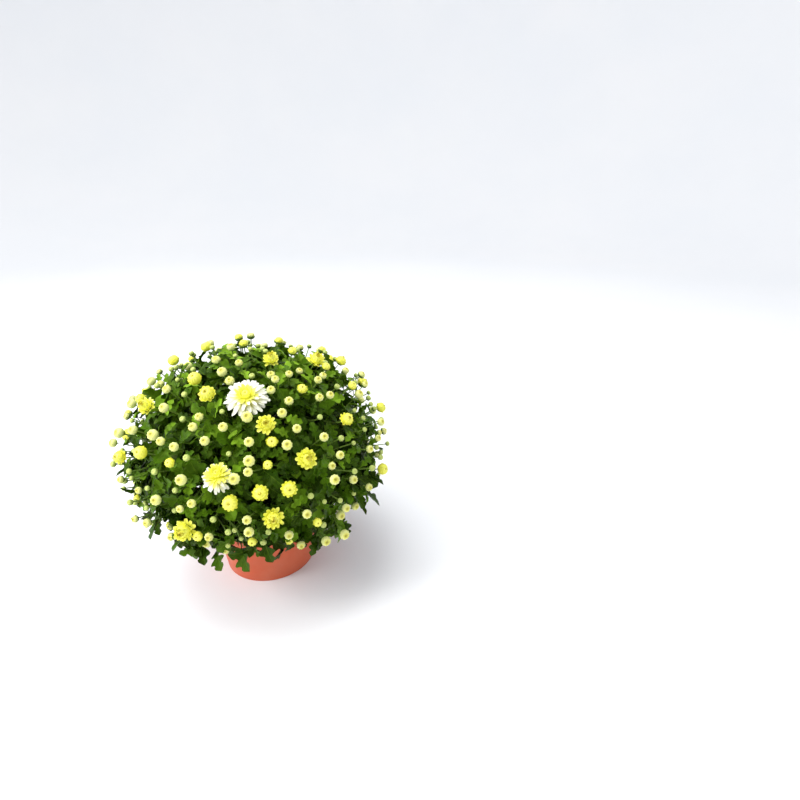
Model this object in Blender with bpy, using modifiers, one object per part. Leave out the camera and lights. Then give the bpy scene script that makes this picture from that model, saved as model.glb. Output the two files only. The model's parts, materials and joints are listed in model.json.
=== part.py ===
"""Pot chrysanthemum: a round bush of leafy stems with buds and blooms, in a filled plastic pot.

Metres, +Z up. The origin is the middle of the pot's underside, on the surface that the pot stands on.
The bush is divided into one cone for each leafy stem, from the middle of the bush outwards. A stem's
leaves, buds and core stay inside its cone, so no two stems cross.
"""

import math
import random

import bmesh
import bpy
from mathutils import Matrix, Vector
from mathutils.bvhtree import BVHTree
from mathutils.geometry import closest_point_on_tri

MM = 0.001
UP = Vector((0, 0, 1))

# The pot and its soil
POT_HEIGHT = 122 * MM
POT_RIM_RADIUS = 70 * MM
POT_BASE_RADIUS = 53.5 * MM
POT_WALL = 1.8 * MM
POT_FLOOR = 2.2 * MM
POT_SIDES = 26
BAND_HEIGHT = 13 * MM
BAND_PROUD = 2.2 * MM
FOOT_WIDTH = 6 * MM
PAD_RADIUS = 30 * MM
FOOT_LIFT = 1.5 * MM
DRAIN_COUNT = 6
DRAIN_RADIUS = 4 * MM
SOIL_TOP = 111.5 * MM
SOIL_CROWN = 3 * MM
HOLE_RADIUS = 2.9 * MM
HOLE_DEPTH = 12 * MM
GAP = 0.3 * MM

# The bush: an egg-shaped shell through the middles of its outer flower heads
BUSH_CENTRE = Vector((0, 0, 160 * MM))
BUSH_SIDE = 149 * MM
BUSH_ABOVE = 115 * MM
BUSH_BELOW = 90 * MM
LOWEST_POLAR_ANGLE = math.radians(113)
# Under the waist its leaves hang lower and squarer than that shell, down to the skirt's height
HEM_DROP = 90 * MM
HEM_SQUARENESS = 4
SKIRT_HEIGHT = 69 * MM
CLEAR = 0.45 * MM
RIM_CLEAR = 3 * MM
ZONE_SEARCH = 110 * MM

# The leafy stems stand in rings round the bush: how many, degrees from straight up, and leaves on each
STEM_RINGS = ((3, 20, 8), (6, 49, 8), (7, 78, 10), (8, 105, 12))
STEM_COUNT = sum(count for count, angle, leaves in STEM_RINGS)
STEM_STRAY = 4
STEM_RADIUS = 1.7 * MM
# Its path: feet inside this circle, then up and over to where it enters its cone, and into its core
FOOT_CIRCLE = 35 * MM
KNEE_SHARE = 0.40
TIP_SHARE = 0.70
PATH_LEAN = 0.4
# The core: its ends, and its rows of points with how far each fills the cone sideways
CORE_SPAN = (0.52, 0.76)
CORE_ROWS = ((0.58, 0.85), (0.69, 1.0))
CORE_SIDES = 7
CORE_CLEAR = 2 * MM
CORE_SPARE = 5 * MM
CORE_WIDEST = 56 * MM
CORE_STRAY = 0.02

# The leaves
LEAF_LENGTH = (28 * MM, 37 * MM)
PETIOLE = 9 * MM
LEAF_ROOT_SHARE = 0.68
LEAF_ROOT_SPREAD = (0.0, 0.6)
LEAF_SWING = math.radians(75)
LEAF_RISE = (math.radians(10), math.radians(66))
LEAF_BEND = (0.4, 0.9)
LEAF_FOLD = (-0.1, 0.35)
LEAF_WAVE = (-0.16, 0.16)
LEAF_SHORTEST = 0.75
LEAF_THICKNESS = 1.3 * MM
LEAF_REACH_SHARE = 0.98
HEM_REACH_SHARE = 1.04
LEAF_TRIES = 220
LEAF_CHOICES = 5
# The first leaves of a low stem hang from its lower side, on longer petioles
HANGING_LEAVES = 8
HANGING_PETIOLE = 20 * MM
HANGING_FAN = math.radians(70)
HANGING_SWING = math.radians(50)
HANGING_ROOT_SPREAD = (0.3, 0.75)
# Half of a leaf's lobed edge: how far along the blade, and how far out, as shares of its length
LEAF_EDGE = ((0.0, 0.045), (0.30, 0.28), (0.44, 0.19), (0.72, 0.28))
LEAF_MIDDLE = 0.45

# The flower heads
HEAD_RISE = 0.28
DAISY_FLATNESS = 0.55
HEAD_FLATNESS = 0.85
BLOOM_ELBOW_ROOM = 0.5
BUD_ELBOW_ROOM = 1.1
BUD_SPACING = 35 * MM
BUD_DARTS = 900
BUD_SHARE = (0.96, 1.03)
BUD_RADIUS = (4.8 * MM, 6.0 * MM)
OPENING_RADIUS = (6.2 * MM, 7.2 * MM)
OPENING_CHANCE = 0.2
STALK_RADIUS = 0.8 * MM
STALK_ROOT_SHARE = 0.66
STALK_SIDES = 3
BUD_SIDES = 6

# The photograph's camera, which only says where the named blooms sit on the shell
CAMERA = Vector((164.4 * MM, -549.1 * MM, 465 * MM))
CAMERA_PITCH = math.radians(24.65)
FOCAL_PIXELS = 540.7
MIDDLE_PIXEL = 400
NEAREST_SIGHT = 300 * MM
SIGHT_STEPS = 600

# Name: pixel across, pixel down, diameter in millimetres
DAISIES = {
    "bloom_daisy": (246, 396, 43),
    "bloom_half_daisy": (217, 475, 29),
}
FRONT_BLOOMS = {
    "bloom_upper_left": (195, 379, 17),
    "bloom_under_upper_left": (207, 394, 19),
    "bloom_left_shoulder": (146, 406, 18),
    "bloom_far_left": (139, 451, 16),
    "bloom_left_edge": (120, 457, 16),
    "bloom_by_daisy": (266, 424, 18),
    "bloom_frilled": (307, 459, 20),
    "bloom_low_middle": (260, 493, 17),
    "bloom_low_right": (289, 489, 17),
    "bloom_low_left": (230, 503, 18),
    "bloom_over_pot": (272, 517, 20),
    "bloom_bottom_left": (184, 531, 21),
    "bloom_top_middle": (271, 359, 17),
    "bloom_top_left": (205, 348, 15),
    "bloom_crown_left": (174, 361, 16),
    "bloom_crown_right": (316, 360, 19),
    "bloom_right_upper": (347, 419, 16),
    "bloom_right_edge": (382, 469, 16),
}
BACK_BLOOM_COUNT = 12
BACK_BLOOM_SPACING = 44 * MM
BACK_BLOOM_RADIUS = (7.5 * MM, 10 * MM)
BACK_BLOOM_POLAR = (math.radians(22), math.radians(102))
BACK_BLOOM_AZIMUTH = (math.radians(-27), math.radians(207))
BIG_BLOOM = 8.2 * MM


def clear_scene():
    for old in list(bpy.data.objects):
        bpy.data.objects.remove(old, do_unlink=True)


def material(name, colour, roughness):
    """A Principled material of one plain colour."""
    made = bpy.data.materials.new(name)
    made.use_nodes = True
    shader = made.node_tree.nodes["Principled BSDF"]
    shader.inputs["Base Color"].default_value = (*colour, 1)
    shader.inputs["Roughness"].default_value = roughness
    shader.inputs["Metallic"].default_value = 0
    return made


clear_scene()
PLANT = bpy.data.collections.new("pot_chrysanthemum")
bpy.context.scene.collection.children.link(PLANT)
HELPERS = bpy.data.collections.new("cutters")
bpy.context.scene.collection.children.link(HELPERS)

TERRACOTTA = material("terracotta_plastic", (0.64, 0.13, 0.06), 0.45)
PEAT = material("peat", (0.035, 0.022, 0.014), 0.95)
STEM_GREEN = material("stem_green", (0.12, 0.22, 0.05), 0.6)
LEAF_GREEN = material("leaf_green", (0.045, 0.13, 0.02), 0.5)
BUD_CREAM = material("bud_cream", (0.83, 0.83, 0.36), 0.55)
PETAL_YELLOW = material("petal_yellow", (0.9, 0.78, 0.03), 0.5)
PETAL_WHITE = material("petal_white", (0.88, 0.88, 0.78), 0.5)
STEM_MATERIALS = (STEM_GREEN, LEAF_GREEN, BUD_CREAM)
STEM_FACE, LEAF_FACE, BUD_FACE = range(3)


# Meshes


def object_of(name, mesh, materials, collection=PLANT):
    for each in materials:
        mesh.materials.append(each)
    made = bpy.data.objects.new(name, mesh)
    collection.objects.link(made)
    return made


def mesh_of(bm, name, face_material=0):
    """Closes a working mesh off: faces out, one material, smooth."""
    bmesh.ops.recalc_face_normals(bm, faces=bm.faces)
    for face in bm.faces:
        face.material_index = face_material
        face.smooth = True
    mesh = bpy.data.meshes.new(name)
    bm.to_mesh(mesh)
    bm.free()
    return mesh


def skin_between(bm, lower, upper):
    """Joins two rings of vertices, of one count, or where one has twice as many or is one point."""
    if len(lower) > len(upper):
        lower, upper = upper, lower
    count = len(lower)
    for i in range(count):
        after = (i + 1) % count
        if len(upper) == count:
            bm.faces.new((lower[i], lower[after], upper[after]))
            bm.faces.new((lower[i], upper[after], upper[i]))
        elif count > 1:
            middle, end = upper[2 * i + 1], upper[(2 * i + 2) % len(upper)]
            bm.faces.new((lower[i], middle, upper[2 * i]))
            bm.faces.new((lower[i], lower[after], middle))
            bm.faces.new((lower[after], end, middle))
    if count == 1:
        for i in range(len(upper)):
            bm.faces.new((lower[0], upper[i], upper[(i + 1) % len(upper)]))


def skinned(name, rings, face_material=0):
    """A closed body skinned over a row of rings of points. A ring may be one point."""
    bm = bmesh.new()
    rows = [[bm.verts.new(point) for point in ring] for ring in rings]
    for lower, upper in zip(rows, rows[1:]):
        skin_between(bm, lower, upper)
    for end in (rows[0], rows[-1]):
        if len(end) > 2:
            bm.faces.new(end)
    return mesh_of(bm, name, face_material)


def turned(name, profile, sides):
    """A solid turned by a Screw modifier from (radius, height) points that end on the axis."""
    mesh = bpy.data.meshes.new(name)
    points = [(radius, 0, height) for radius, height in profile]
    mesh.from_pydata(points, [(i, i + 1) for i in range(len(points) - 1)], [])
    made = object_of(name, mesh, ())
    screw = made.modifiers.new("turn", "SCREW")
    screw.steps = screw.render_steps = sides
    screw.use_merge_vertices = True
    screw.merge_threshold = 0.01 * MM
    screw.use_smooth_shade = False
    return made


def cut(target, cutter):
    """Cuts a mesh object, which stays hidden, out of another."""
    cutter.hide_render = True
    cutter.display_type = "WIRE"
    boolean = target.modifiers.new("cut_" + cutter.name, "BOOLEAN")
    boolean.operation = "DIFFERENCE"
    boolean.solver = "EXACT"
    boolean.object = cutter


def largest_body(mesh):
    """Keeps a mesh's largest body, so that a loose scrap or a sealed hollow goes."""
    bm = bmesh.new()
    bm.from_mesh(mesh)
    unseen = set(bm.faces)
    bodies = []
    while unseen:
        body, front = set(), [unseen.pop()]
        while front:
            face = front.pop()
            body.add(face)
            near = {other for edge in face.edges for other in edge.link_faces}
            front += near & unseen
            unseen -= near
        bodies.append(body)
    bodies.sort(key=len)
    for body in bodies[:-1]:
        bmesh.ops.delete(bm, geom=list(body), context="FACES")
    bm.to_mesh(mesh)
    bm.free()


def fused(name, meshes, materials):
    """One object made of overlapping closed meshes by one Boolean union on a collection."""
    group = bpy.data.collections.new(name + "_repeats")
    HELPERS.children.link(group)
    base, *others = [object_of(name, mesh, materials, HELPERS) for mesh in meshes]
    for other in others:
        HELPERS.objects.unlink(other)
        group.objects.link(other)
    union = base.modifiers.new("union", "BOOLEAN")
    union.operation = "UNION"
    union.operand_type = "COLLECTION"
    union.collection = group
    union.solver = "EXACT"
    bpy.context.view_layer.update()
    graph = bpy.context.evaluated_depsgraph_get()
    whole = bpy.data.meshes.new_from_object(base.evaluated_get(graph))
    for each in (base, *others):
        bpy.data.objects.remove(each, do_unlink=True)
    bpy.data.collections.remove(group)
    largest_body(whole)
    whole.name = name
    made = bpy.data.objects.new(name, whole)
    PLANT.objects.link(made)
    return made


def across(direction):
    """Two unit vectors square to a direction and to each other."""
    helper = Vector((1, 0, 0)) if abs(direction.x) < 0.8 else Vector((0, 1, 0))
    first = direction.cross(helper).normalized()
    return first, direction.cross(first)


def ring(centre, axis, radii, turn=0.0, lifts=(0.0,)):
    """Points round an axis. Radii and lifts along the axis repeat where the ring has more points."""
    first, second = across(axis)
    points = []
    for i, radius in enumerate(radii):
        angle = turn + math.tau * i / len(radii)
        out = first * math.cos(angle) + second * math.sin(angle)
        points.append(centre + out * radius + axis * lifts[i % len(lifts)])
    return points


# The shell of the bush, and the cone of each leafy stem


def polar(angle_from_up, azimuth):
    flat = math.sin(angle_from_up)
    return Vector((flat * math.cos(azimuth), flat * math.sin(azimuth), math.cos(angle_from_up)))


def shell_radius(direction):
    """How far the shell is from the middle of the bush, along a unit vector."""
    height = BUSH_ABOVE if direction.z > 0 else BUSH_BELOW
    flat = math.hypot(direction.x, direction.y) / BUSH_SIDE
    return 1 / math.hypot(flat, direction.z / height)


def on_shell(direction, share=1.0):
    return BUSH_CENTRE + direction * shell_radius(direction) * share


def leafy_radius(direction):
    """How far the leaves are from the middle of the bush, which has a squarer shell under its waist."""
    if direction.z > 0:
        return shell_radius(direction)
    flat, drop = math.hypot(direction.x, direction.y) / BUSH_SIDE, -direction.z / HEM_DROP
    return (flat**HEM_SQUARENESS + drop**HEM_SQUARENESS) ** (-1 / HEM_SQUARENESS)


def at_pixel(across_pixels, down_pixels):
    """Where the photograph's line of sight through a pixel meets the shell, or passes it most closely."""
    ahead = Vector((0, math.cos(CAMERA_PITCH), -math.sin(CAMERA_PITCH)))
    down = Vector((0, -math.sin(CAMERA_PITCH), -math.cos(CAMERA_PITCH)))
    sight = ahead * FOCAL_PIXELS + down * (down_pixels - MIDDLE_PIXEL)
    sight.x = across_pixels - MIDDLE_PIXEL
    sight.normalize()
    best, best_share = CAMERA, math.inf
    for step in range(SIGHT_STEPS):
        point = CAMERA + sight * (NEAREST_SIGHT + step * MM)
        arm = point - BUSH_CENTRE
        share = arm.length / shell_radius(arm.normalized())
        if share < best_share:
            best, best_share = point, share
        if share <= 1:
            break
    return best


class Cone:
    """The space of one leafy stem: its axis from the bush's middle, and the walls to the others."""

    def __init__(self, number, axis, leaves, others):
        self.number = number
        self.axis = axis
        self.leaves = leaves
        near = [other for other in others if other != axis and other.dot(axis) > 0]
        self.walls = [(axis - other).normalized() for other in near]
        self.reach = leafy_radius(axis)

    def room(self, point):
        """How far a point is inside the nearest wall."""
        arm = point - BUSH_CENTRE
        return min(wall.dot(arm) for wall in self.walls)

    def along(self, share):
        return BUSH_CENTRE + self.axis * self.reach * share


def stem_axes():
    """Directions in staggered rings over the shell, each strayed a little, with their stems' leaves."""
    axes = []
    for row, (count, angle, leaves) in enumerate(STEM_RINGS):
        for i in range(count):
            draw = random.Random("stem %d %d" % (row, i))
            azimuth = 360 * (i + 0.5 * row) / count + draw.uniform(-STEM_STRAY, STEM_STRAY)
            lean = angle + draw.uniform(-STEM_STRAY, STEM_STRAY) / 2
            axes.append((polar(math.radians(lean), math.radians(azimuth)), leaves))
    return axes


def cones():
    rows = stem_axes()
    axes = [axis for axis, leaves in rows]
    return [Cone(i, axis, leaves, axes) for i, (axis, leaves) in enumerate(rows)]


def clear_of_pot(point, spare=0.0):
    """True over the pot's rim, or outside it and above the hem of the bush."""
    from_axis = math.hypot(point.x, point.y)
    if from_axis < POT_RIM_RADIUS + RIM_CLEAR + spare:
        return point.z > POT_HEIGHT + RIM_CLEAR + spare
    return point.z > SKIRT_HEIGHT


class Zone:
    """The flattened ball that a flower head fills, which leaves and other heads keep out of."""

    def __init__(self, centre, axis, radius, half_height):
        first, second = across(axis)
        rows = (first / radius, second / radius, axis / half_height)
        self.centre = centre
        self.reach = radius
        self.squeeze = Matrix(rows)

    def holds(self, triangles):
        origin = Vector((0, 0, 0))
        for corners in triangles:
            if min((corner - self.centre).length for corner in corners) > ZONE_SEARCH:
                continue
            squeezed = [self.squeeze @ (corner - self.centre) for corner in corners]
            if closest_point_on_tri(origin, *squeezed).length < 1:
                return True
        return False


def triangles_of(mesh):
    mesh.calc_loop_triangles()
    points = [vertex.co.copy() for vertex in mesh.vertices]
    return [[points[i] for i in triangle.vertices] for triangle in mesh.loop_triangles]


def tree_of(mesh):
    return BVHTree.FromPolygons([v.co for v in mesh.vertices], [list(f.vertices) for f in mesh.polygons])


def crosses(mesh, trees):
    own = tree_of(mesh)
    return any(own.overlap(other) for other in trees)


def fits(cone, mesh, zones):
    """True where a mesh stays in its stem's cone, clear of the pot and out of the heads' zones."""
    triangles = triangles_of(mesh)
    for corners in triangles:
        middles = [(corners[i] + corners[i - 1]) / 2 for i in range(3)]
        for point in corners + middles:
            if cone.room(point) < CLEAR or not clear_of_pot(point):
                return False
    return not any(zone.holds(triangles) for zone in zones)


# Pot and soil


def wall_radius(height):
    """The outer radius of the pot's tapered side, under its rim band."""
    top = POT_RIM_RADIUS - BAND_PROUD
    return POT_BASE_RADIUS + (top - POT_BASE_RADIUS) * height / POT_HEIGHT


def make_pot():
    band_foot = POT_HEIGHT - BAND_HEIGHT
    foot_inner = POT_BASE_RADIUS - FOOT_WIDTH
    profile = (
        (0, POT_FLOOR),
        (wall_radius(POT_FLOOR) - POT_WALL, POT_FLOOR),
        (wall_radius(POT_HEIGHT) - POT_WALL, POT_HEIGHT),
        (POT_RIM_RADIUS, POT_HEIGHT),
        (POT_RIM_RADIUS - BAND_PROUD / 3, band_foot),
        (wall_radius(band_foot), band_foot),
        (POT_BASE_RADIUS, 0),
        (foot_inner, 0),
        (foot_inner - FOOT_LIFT, FOOT_LIFT),
        (PAD_RADIUS + FOOT_LIFT, FOOT_LIFT),
        (PAD_RADIUS, 0),
        (0, 0),
    )
    pot = turned("pot", profile, POT_SIDES)
    pot.data.materials.append(TERRACOTTA)
    middle = (foot_inner + PAD_RADIUS) / 2
    for i in range(DRAIN_COUNT):
        place = polar(math.pi / 2, math.tau * i / DRAIN_COUNT) * middle
        cut(pot, drill("drain_%d" % (i + 1), place, DRAIN_RADIUS, 4 * POT_FLOOR, 8))
    return pot


def drill(name, middle, radius, height, sides):
    """A cylinder to cut a hole with."""
    bm = bmesh.new()
    bmesh.ops.create_cone(
        bm,
        cap_ends=True,
        segments=sides,
        radius1=radius,
        radius2=radius,
        depth=height,
        matrix=Matrix.Translation(middle),
    )
    return object_of(name, mesh_of(bm, name), (), HELPERS)


def soil_height(from_axis):
    """The soil's crowned top."""
    return SOIL_TOP + SOIL_CROWN * (1 - (from_axis / POT_RIM_RADIUS) ** 2)


def make_soil(feet):
    bottom = POT_FLOOR + GAP
    inner = -POT_WALL - GAP
    edge = wall_radius(SOIL_TOP) + inner
    profile = [(0, soil_height(0))]
    profile += [(0.6 * edge, soil_height(0.6 * edge))]
    profile += [(edge, SOIL_TOP), (wall_radius(bottom) + inner, bottom), (0, bottom)]
    soil = turned("soil", profile, POT_SIDES)
    soil.data.materials.append(PEAT)
    for i, foot in enumerate(feet):
        top = foot + UP * HOLE_DEPTH
        cut(soil, drill("stem_hole_%02d" % (i + 1), top, HOLE_RADIUS, 2 * HOLE_DEPTH, 4))
    return soil


# Flower heads


class Head:
    """A flower head: its name, the middle of its widest ring, and its radius."""

    def __init__(self, name, kind, place, radius):
        self.name = name
        self.kind = kind
        self.place = place
        self.radius = radius
        self.cone = None

    def settle(self, all_cones):
        """Gives the head to the cone it is deepest in, and moves it in until it is clear of the walls."""
        self.cone = max(all_cones, key=lambda cone: cone.room(self.place))
        elbow_room = BLOOM_ELBOW_ROOM if self.kind in ("bloom", "daisy") else BUD_ELBOW_ROOM
        need = CLEAR + elbow_room * self.radius
        aim = self.cone.along((self.place - BUSH_CENTRE).length / self.cone.reach)
        while self.cone.room(self.place) < need:
            self.place = self.place.lerp(aim, 0.05)

    @property
    def axis(self):
        """A head faces out of the bush and a little up."""
        outward = (self.place - BUSH_CENTRE).normalized()
        return (outward + UP * HEAD_RISE).normalized()

    @property
    def zone(self):
        flat = DAISY_FLATNESS if self.kind == "daisy" else HEAD_FLATNESS
        reach = self.radius + GAP
        return Zone(self.place, self.axis, reach, reach * flat)


def named_blooms():
    found = []
    for kind, table in (("daisy", DAISIES), ("bloom", FRONT_BLOOMS)):
        for name, (column, row, diameter) in table.items():
            found.append(Head(name, kind, at_pixel(column, row), diameter / 2 * MM))
    return found


def far_enough(place, heads, spacing):
    return all((place - head.place).length > spacing + head.radius / 2 for head in heads)


def back_blooms(taken):
    """Blooms on the side that the photograph doesn't show, spread by seeded darts."""
    found = []
    draw = random.Random("back blooms")
    while len(found) < BACK_BLOOM_COUNT:
        height = draw.uniform(*[math.cos(angle) for angle in BACK_BLOOM_POLAR])
        direction = polar(math.acos(height), draw.uniform(*BACK_BLOOM_AZIMUTH))
        radius = draw.uniform(*BACK_BLOOM_RADIUS)
        if far_enough(on_shell(direction), taken + found, BACK_BLOOM_SPACING):
            name = "bloom_back_%02d" % (len(found) + 1)
            found.append(Head(name, "bloom", on_shell(direction), radius))
    return found


def buds(taken):
    """Buds spread over the whole shell by seeded darts that keep their distance from each other."""
    found = []
    draw = random.Random("buds")
    for dart in range(BUD_DARTS):
        height = draw.uniform(math.cos(LOWEST_POLAR_ANGLE), 1)
        direction = polar(math.acos(height), draw.uniform(0, math.tau))
        place = on_shell(direction, draw.uniform(*BUD_SHARE))
        opening = draw.random() < OPENING_CHANCE
        radius = draw.uniform(*(OPENING_RADIUS if opening else BUD_RADIUS))
        if far_enough(place, found, BUD_SPACING) and far_enough(place, taken, 0.6 * BUD_SPACING):
            kind = "opening" if opening else "bud"
            found.append(Head("bud_%03d" % dart, kind, place, radius))
    return found


def stalk_rings(head, seat):
    """A stalk's point, deep in the core, and its neck under the head."""
    root = head.cone.along(STALK_ROOT_SHARE)
    neck = ring(seat, head.axis, [STALK_RADIUS] * STALK_SIDES)
    return [[root], neck]


def bud_mesh(head):
    """A closed bud or an opening one, on its stalk."""
    r, axis, place = head.radius, head.axis, head.place
    rings = stalk_rings(head, place - axis * 0.75 * r)
    if head.kind == "opening":
        rings.append(ring(place, axis, [r, 0.8 * r] * STALK_SIDES, 0, (0.3 * r, 0.1 * r)))
        rings.append(ring(place + axis * 0.8 * r, axis, [0.45 * r, 0.6 * r] * STALK_SIDES))
    else:
        rings.append(ring(place, axis, [r] * BUD_SIDES))
        rings.append(ring(place + axis * 0.7 * r, axis, [0.55 * r] * BUD_SIDES))
    return skinned(head.name, rings, BUD_FACE)


def calyx_seat(head):
    """The middle of the flat face that a bloom sits on, and that face's radius."""
    depth = 0.28 if head.kind == "daisy" else 0.62
    width = 0.24 if head.kind == "daisy" else 0.42
    return head.place - head.axis * depth * head.radius, width * head.radius


def calyx_mesh(head):
    """A bloom's stalk, and the green cup under it."""
    seat, width = calyx_seat(head)
    rings = stalk_rings(head, seat - head.axis * 0.9 * width)
    rings.append(ring(seat, head.axis, [width] * BUD_SIDES))
    return skinned(head.name + "_stalk", rings, STEM_FACE)


def bloom_mesh(head):
    """A half-open bloom: two layers of petals raised round a hollow middle."""
    r, axis = head.radius, head.axis
    petals = 7 if r > BIG_BLOOM else 6
    seat, width = calyx_seat(head)
    place = seat + axis * GAP
    half_turn = math.pi / petals
    outer, inner = [r, 0.74 * r] * petals, [0.62 * r, 0.42 * r] * petals
    rings = (
        ring(place, axis, [width] * petals),
        ring(place, axis, outer, 0, (0.72 * r, 0.5 * r)),
        ring(place + axis * 0.8 * r, axis, [0.6 * r] * petals),
        ring(place, axis, inner, half_turn / 2, (1.24 * r, 1.0 * r)),
        ring(place + axis * 1.05 * r, axis, [0.2 * r] * petals, half_turn / 2),
        [place + axis * 0.9 * r],
    )
    return skinned(head.name, rings)


def petal_mesh(name, root, along, face_up, length, width, thickness):
    """A blunt blade: a six-sided outline with a raised and a lowered middle."""
    side = along.cross(face_up)
    outline = (
        root + side * 0.22 * width,
        root + along * 0.6 * length + side * 0.5 * width,
        root + along * length + side * 0.25 * width,
        root + along * length - side * 0.25 * width,
        root + along * 0.6 * length - side * 0.5 * width,
        root - side * 0.22 * width,
    )
    middle = root + along * 0.55 * length
    rings = ([middle + face_up * thickness / 2], outline, [middle - face_up * thickness / 2])
    return skinned(name, rings)


def ray_meshes(head, layers, thickness=1.2 * MM):
    """The outer rays of an open bloom: layers of (count, length share, rise in degrees, height share)."""
    r, axis = head.radius, head.axis
    first, second = across(axis)
    seat = calyx_seat(head)[0] + axis * GAP
    meshes = []
    for layer, (count, share, rise, height) in enumerate(layers):
        for i in range(count):
            angle = math.tau * (i + 0.5 * layer) / count
            out = first * math.cos(angle) + second * math.sin(angle)
            along = out * math.cos(math.radians(rise)) + axis * math.sin(math.radians(rise))
            up = axis * math.cos(math.radians(rise)) - out * math.sin(math.radians(rise))
            start = seat + axis * height * r + out * 0.1 * r
            length = share * r - 0.1 * r
            width = 2.6 * r / count
            meshes.append(petal_mesh(head.name, start, along, up, length, width, thickness))
    return meshes


def make_daisy(head, layers, boss_width, boss_height):
    """An open bloom: a ring of white rays round a yellow middle of shorter petals."""
    r, axis = head.radius, head.axis
    seat, width = calyx_seat(head)
    place = seat + axis * GAP
    collar = 0.2 * r
    disc = (
        ring(place, axis, [width] * 8),
        ring(place + axis * collar, axis, [1.15 * width] * 8),
    )
    meshes = [skinned(head.name, disc)] + ray_meshes(head, layers)
    fused(head.name + "_rays", meshes, (PETAL_WHITE,))
    petals = 8
    base = place + axis * (collar + GAP)
    wide = boss_width * r
    tall = boss_height * r
    rings = (
        ring(base, axis, [0.7 * width] * petals),
        ring(base, axis, [wide, 0.76 * wide] * petals, 0, (0.55 * tall, 0.4 * tall)),
        ring(base + axis * 0.6 * tall, axis, [0.6 * wide] * petals),
        ring(base, axis, [0.55 * wide, 0.4 * wide] * petals, 0.2, (tall, 0.8 * tall)),
        ring(base + axis * 0.8 * tall, axis, [0.16 * wide] * petals),
        [base + axis * 0.7 * tall],
    )
    object_of(head.name + "_middle", skinned(head.name + "_middle", rings), (PETAL_YELLOW,))


# Leaves


def leaf_mesh(root, along, face_up, petiole, length, bend, fold, wave):
    """A lobed leaf on its petiole, bent down along its length and folded along its rib."""
    side = along.cross(face_up)

    def rib(share):
        turn = bend * share
        out = length * math.sin(turn) / bend
        drop = length * (1 - math.cos(turn)) / bend
        return root + along * (petiole + out) - face_up * drop

    def normal(share):
        return face_up * math.cos(bend * share) + along * math.sin(bend * share)

    def edge_point(hand, number):
        share, out = LEAF_EDGE[number]
        lift = (fold + wave * hand * (-1) ** number) * out * length
        return rib(share) + side * hand * out * length + normal(share) * lift

    bm = bmesh.new()
    tip = bm.verts.new(rib(1.0))
    edges = [[bm.verts.new(edge_point(hand, i)) for i in range(len(LEAF_EDGE))] for hand in (-1, 1)]
    ribs = []
    for face in (-0.5, 0.5):
        rise = LEAF_THICKNESS * face
        ribs.append([bm.verts.new(rib(share) + normal(share) * rise) for share in (0, LEAF_MIDDLE)])
    for foot, middle in ribs:
        for outline in edges:
            bm.faces.new((outline[0], outline[1], foot))
            bm.faces.new((outline[1], middle, foot))
            for near, far in zip(outline[1:], outline[2:] + [tip]):
                bm.faces.new((near, far, middle))
    around = (edges[0][0], ribs[1][0], edges[1][0], ribs[0][0])
    start = [bm.verts.new(vertex.co - along * petiole) for vertex in around]
    for i in range(4):
        bm.faces.new((around[i], around[i - 1], start[i - 1], start[i]))
    bm.faces.new(start)
    return mesh_of(bm, "leaf", LEAF_FACE)


def leaf_share(point):
    """How far out a point is, as a share of how far a leaf may reach there."""
    arm = point - BUSH_CENTRE
    furthest = LEAF_REACH_SHARE if arm.z > 0 else HEM_REACH_SHARE
    return arm.length / (leafy_radius(arm.normalized()) * furthest)


def stray_leaf(cone, draw, length, hanging):
    """A leaf rooted on the core's outer face: it spreads towards the walls of its cone, or hangs down."""
    first, second = across(cone.axis)
    down = math.atan2(-second.z, -first.z)
    angle = down + draw.uniform(-HANGING_FAN, HANGING_FAN) if hanging else draw.uniform(-math.pi, math.pi)
    out = first * math.cos(angle) + second * math.sin(angle)
    spread = draw.uniform(*(HANGING_ROOT_SPREAD if hanging else LEAF_ROOT_SPREAD))
    start = on_cell(cone, out, spread * way_out(cone, out, LEAF_ROOT_SHARE), LEAF_ROOT_SHARE)
    radial = (start - BUSH_CENTRE).normalized()
    if hanging:
        heading = down + draw.uniform(-HANGING_SWING, HANGING_SWING)
    else:
        heading = angle + draw.uniform(-LEAF_SWING, LEAF_SWING)
    flat = first * math.cos(heading) + second * math.sin(heading)
    flat = (flat - radial * flat.dot(radial)).normalized()
    rise = draw.uniform(*LEAF_RISE)
    along = flat * math.cos(rise) + radial * math.sin(rise)
    face_up = (radial - along * radial.dot(along)).normalized()
    bend = draw.uniform(*LEAF_BEND)
    fold = draw.uniform(*LEAF_FOLD)
    wave = draw.uniform(*LEAF_WAVE)
    petiole = HANGING_PETIOLE if hanging else PETIOLE
    return leaf_mesh(start, along, face_up, petiole, length, bend, fold, wave)


def blade_middle(mesh):
    """The direction from the bush's middle to the middle of a leaf's blade."""
    points = [vertex.co for vertex in mesh.vertices]
    return (sum(points, Vector()) / len(points) - BUSH_CENTRE).normalized()


def place_leaf(cone, number, zones, trees, middles):
    """Tries leaves until a few are clear of the rest, and keeps the one in the emptiest place."""
    draw = random.Random("leaf %d %d" % (cone.number, number))
    hanging = cone.axis.z < 0 and number < HANGING_LEAVES
    best, best_far = None, -1.0
    clear = 0
    for attempt in range(LEAF_TRIES):
        shrink = 1 - (1 - LEAF_SHORTEST) * attempt / LEAF_TRIES
        length = draw.uniform(*LEAF_LENGTH) * shrink
        mesh = stray_leaf(cone, draw, length, hanging)
        reach = max(leaf_share(vertex.co) for vertex in mesh.vertices)
        good = reach < 1 and fits(cone, mesh, zones) and not crosses(mesh, trees)
        far = min((blade_middle(mesh) - middle).length for middle in middles) if middles else 0.0
        if good and far > best_far:
            mesh, best = best, mesh
            best_far = far
        if mesh:
            bpy.data.meshes.remove(mesh)
        clear += good
        if clear == LEAF_CHOICES:
            break
    return best


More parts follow.
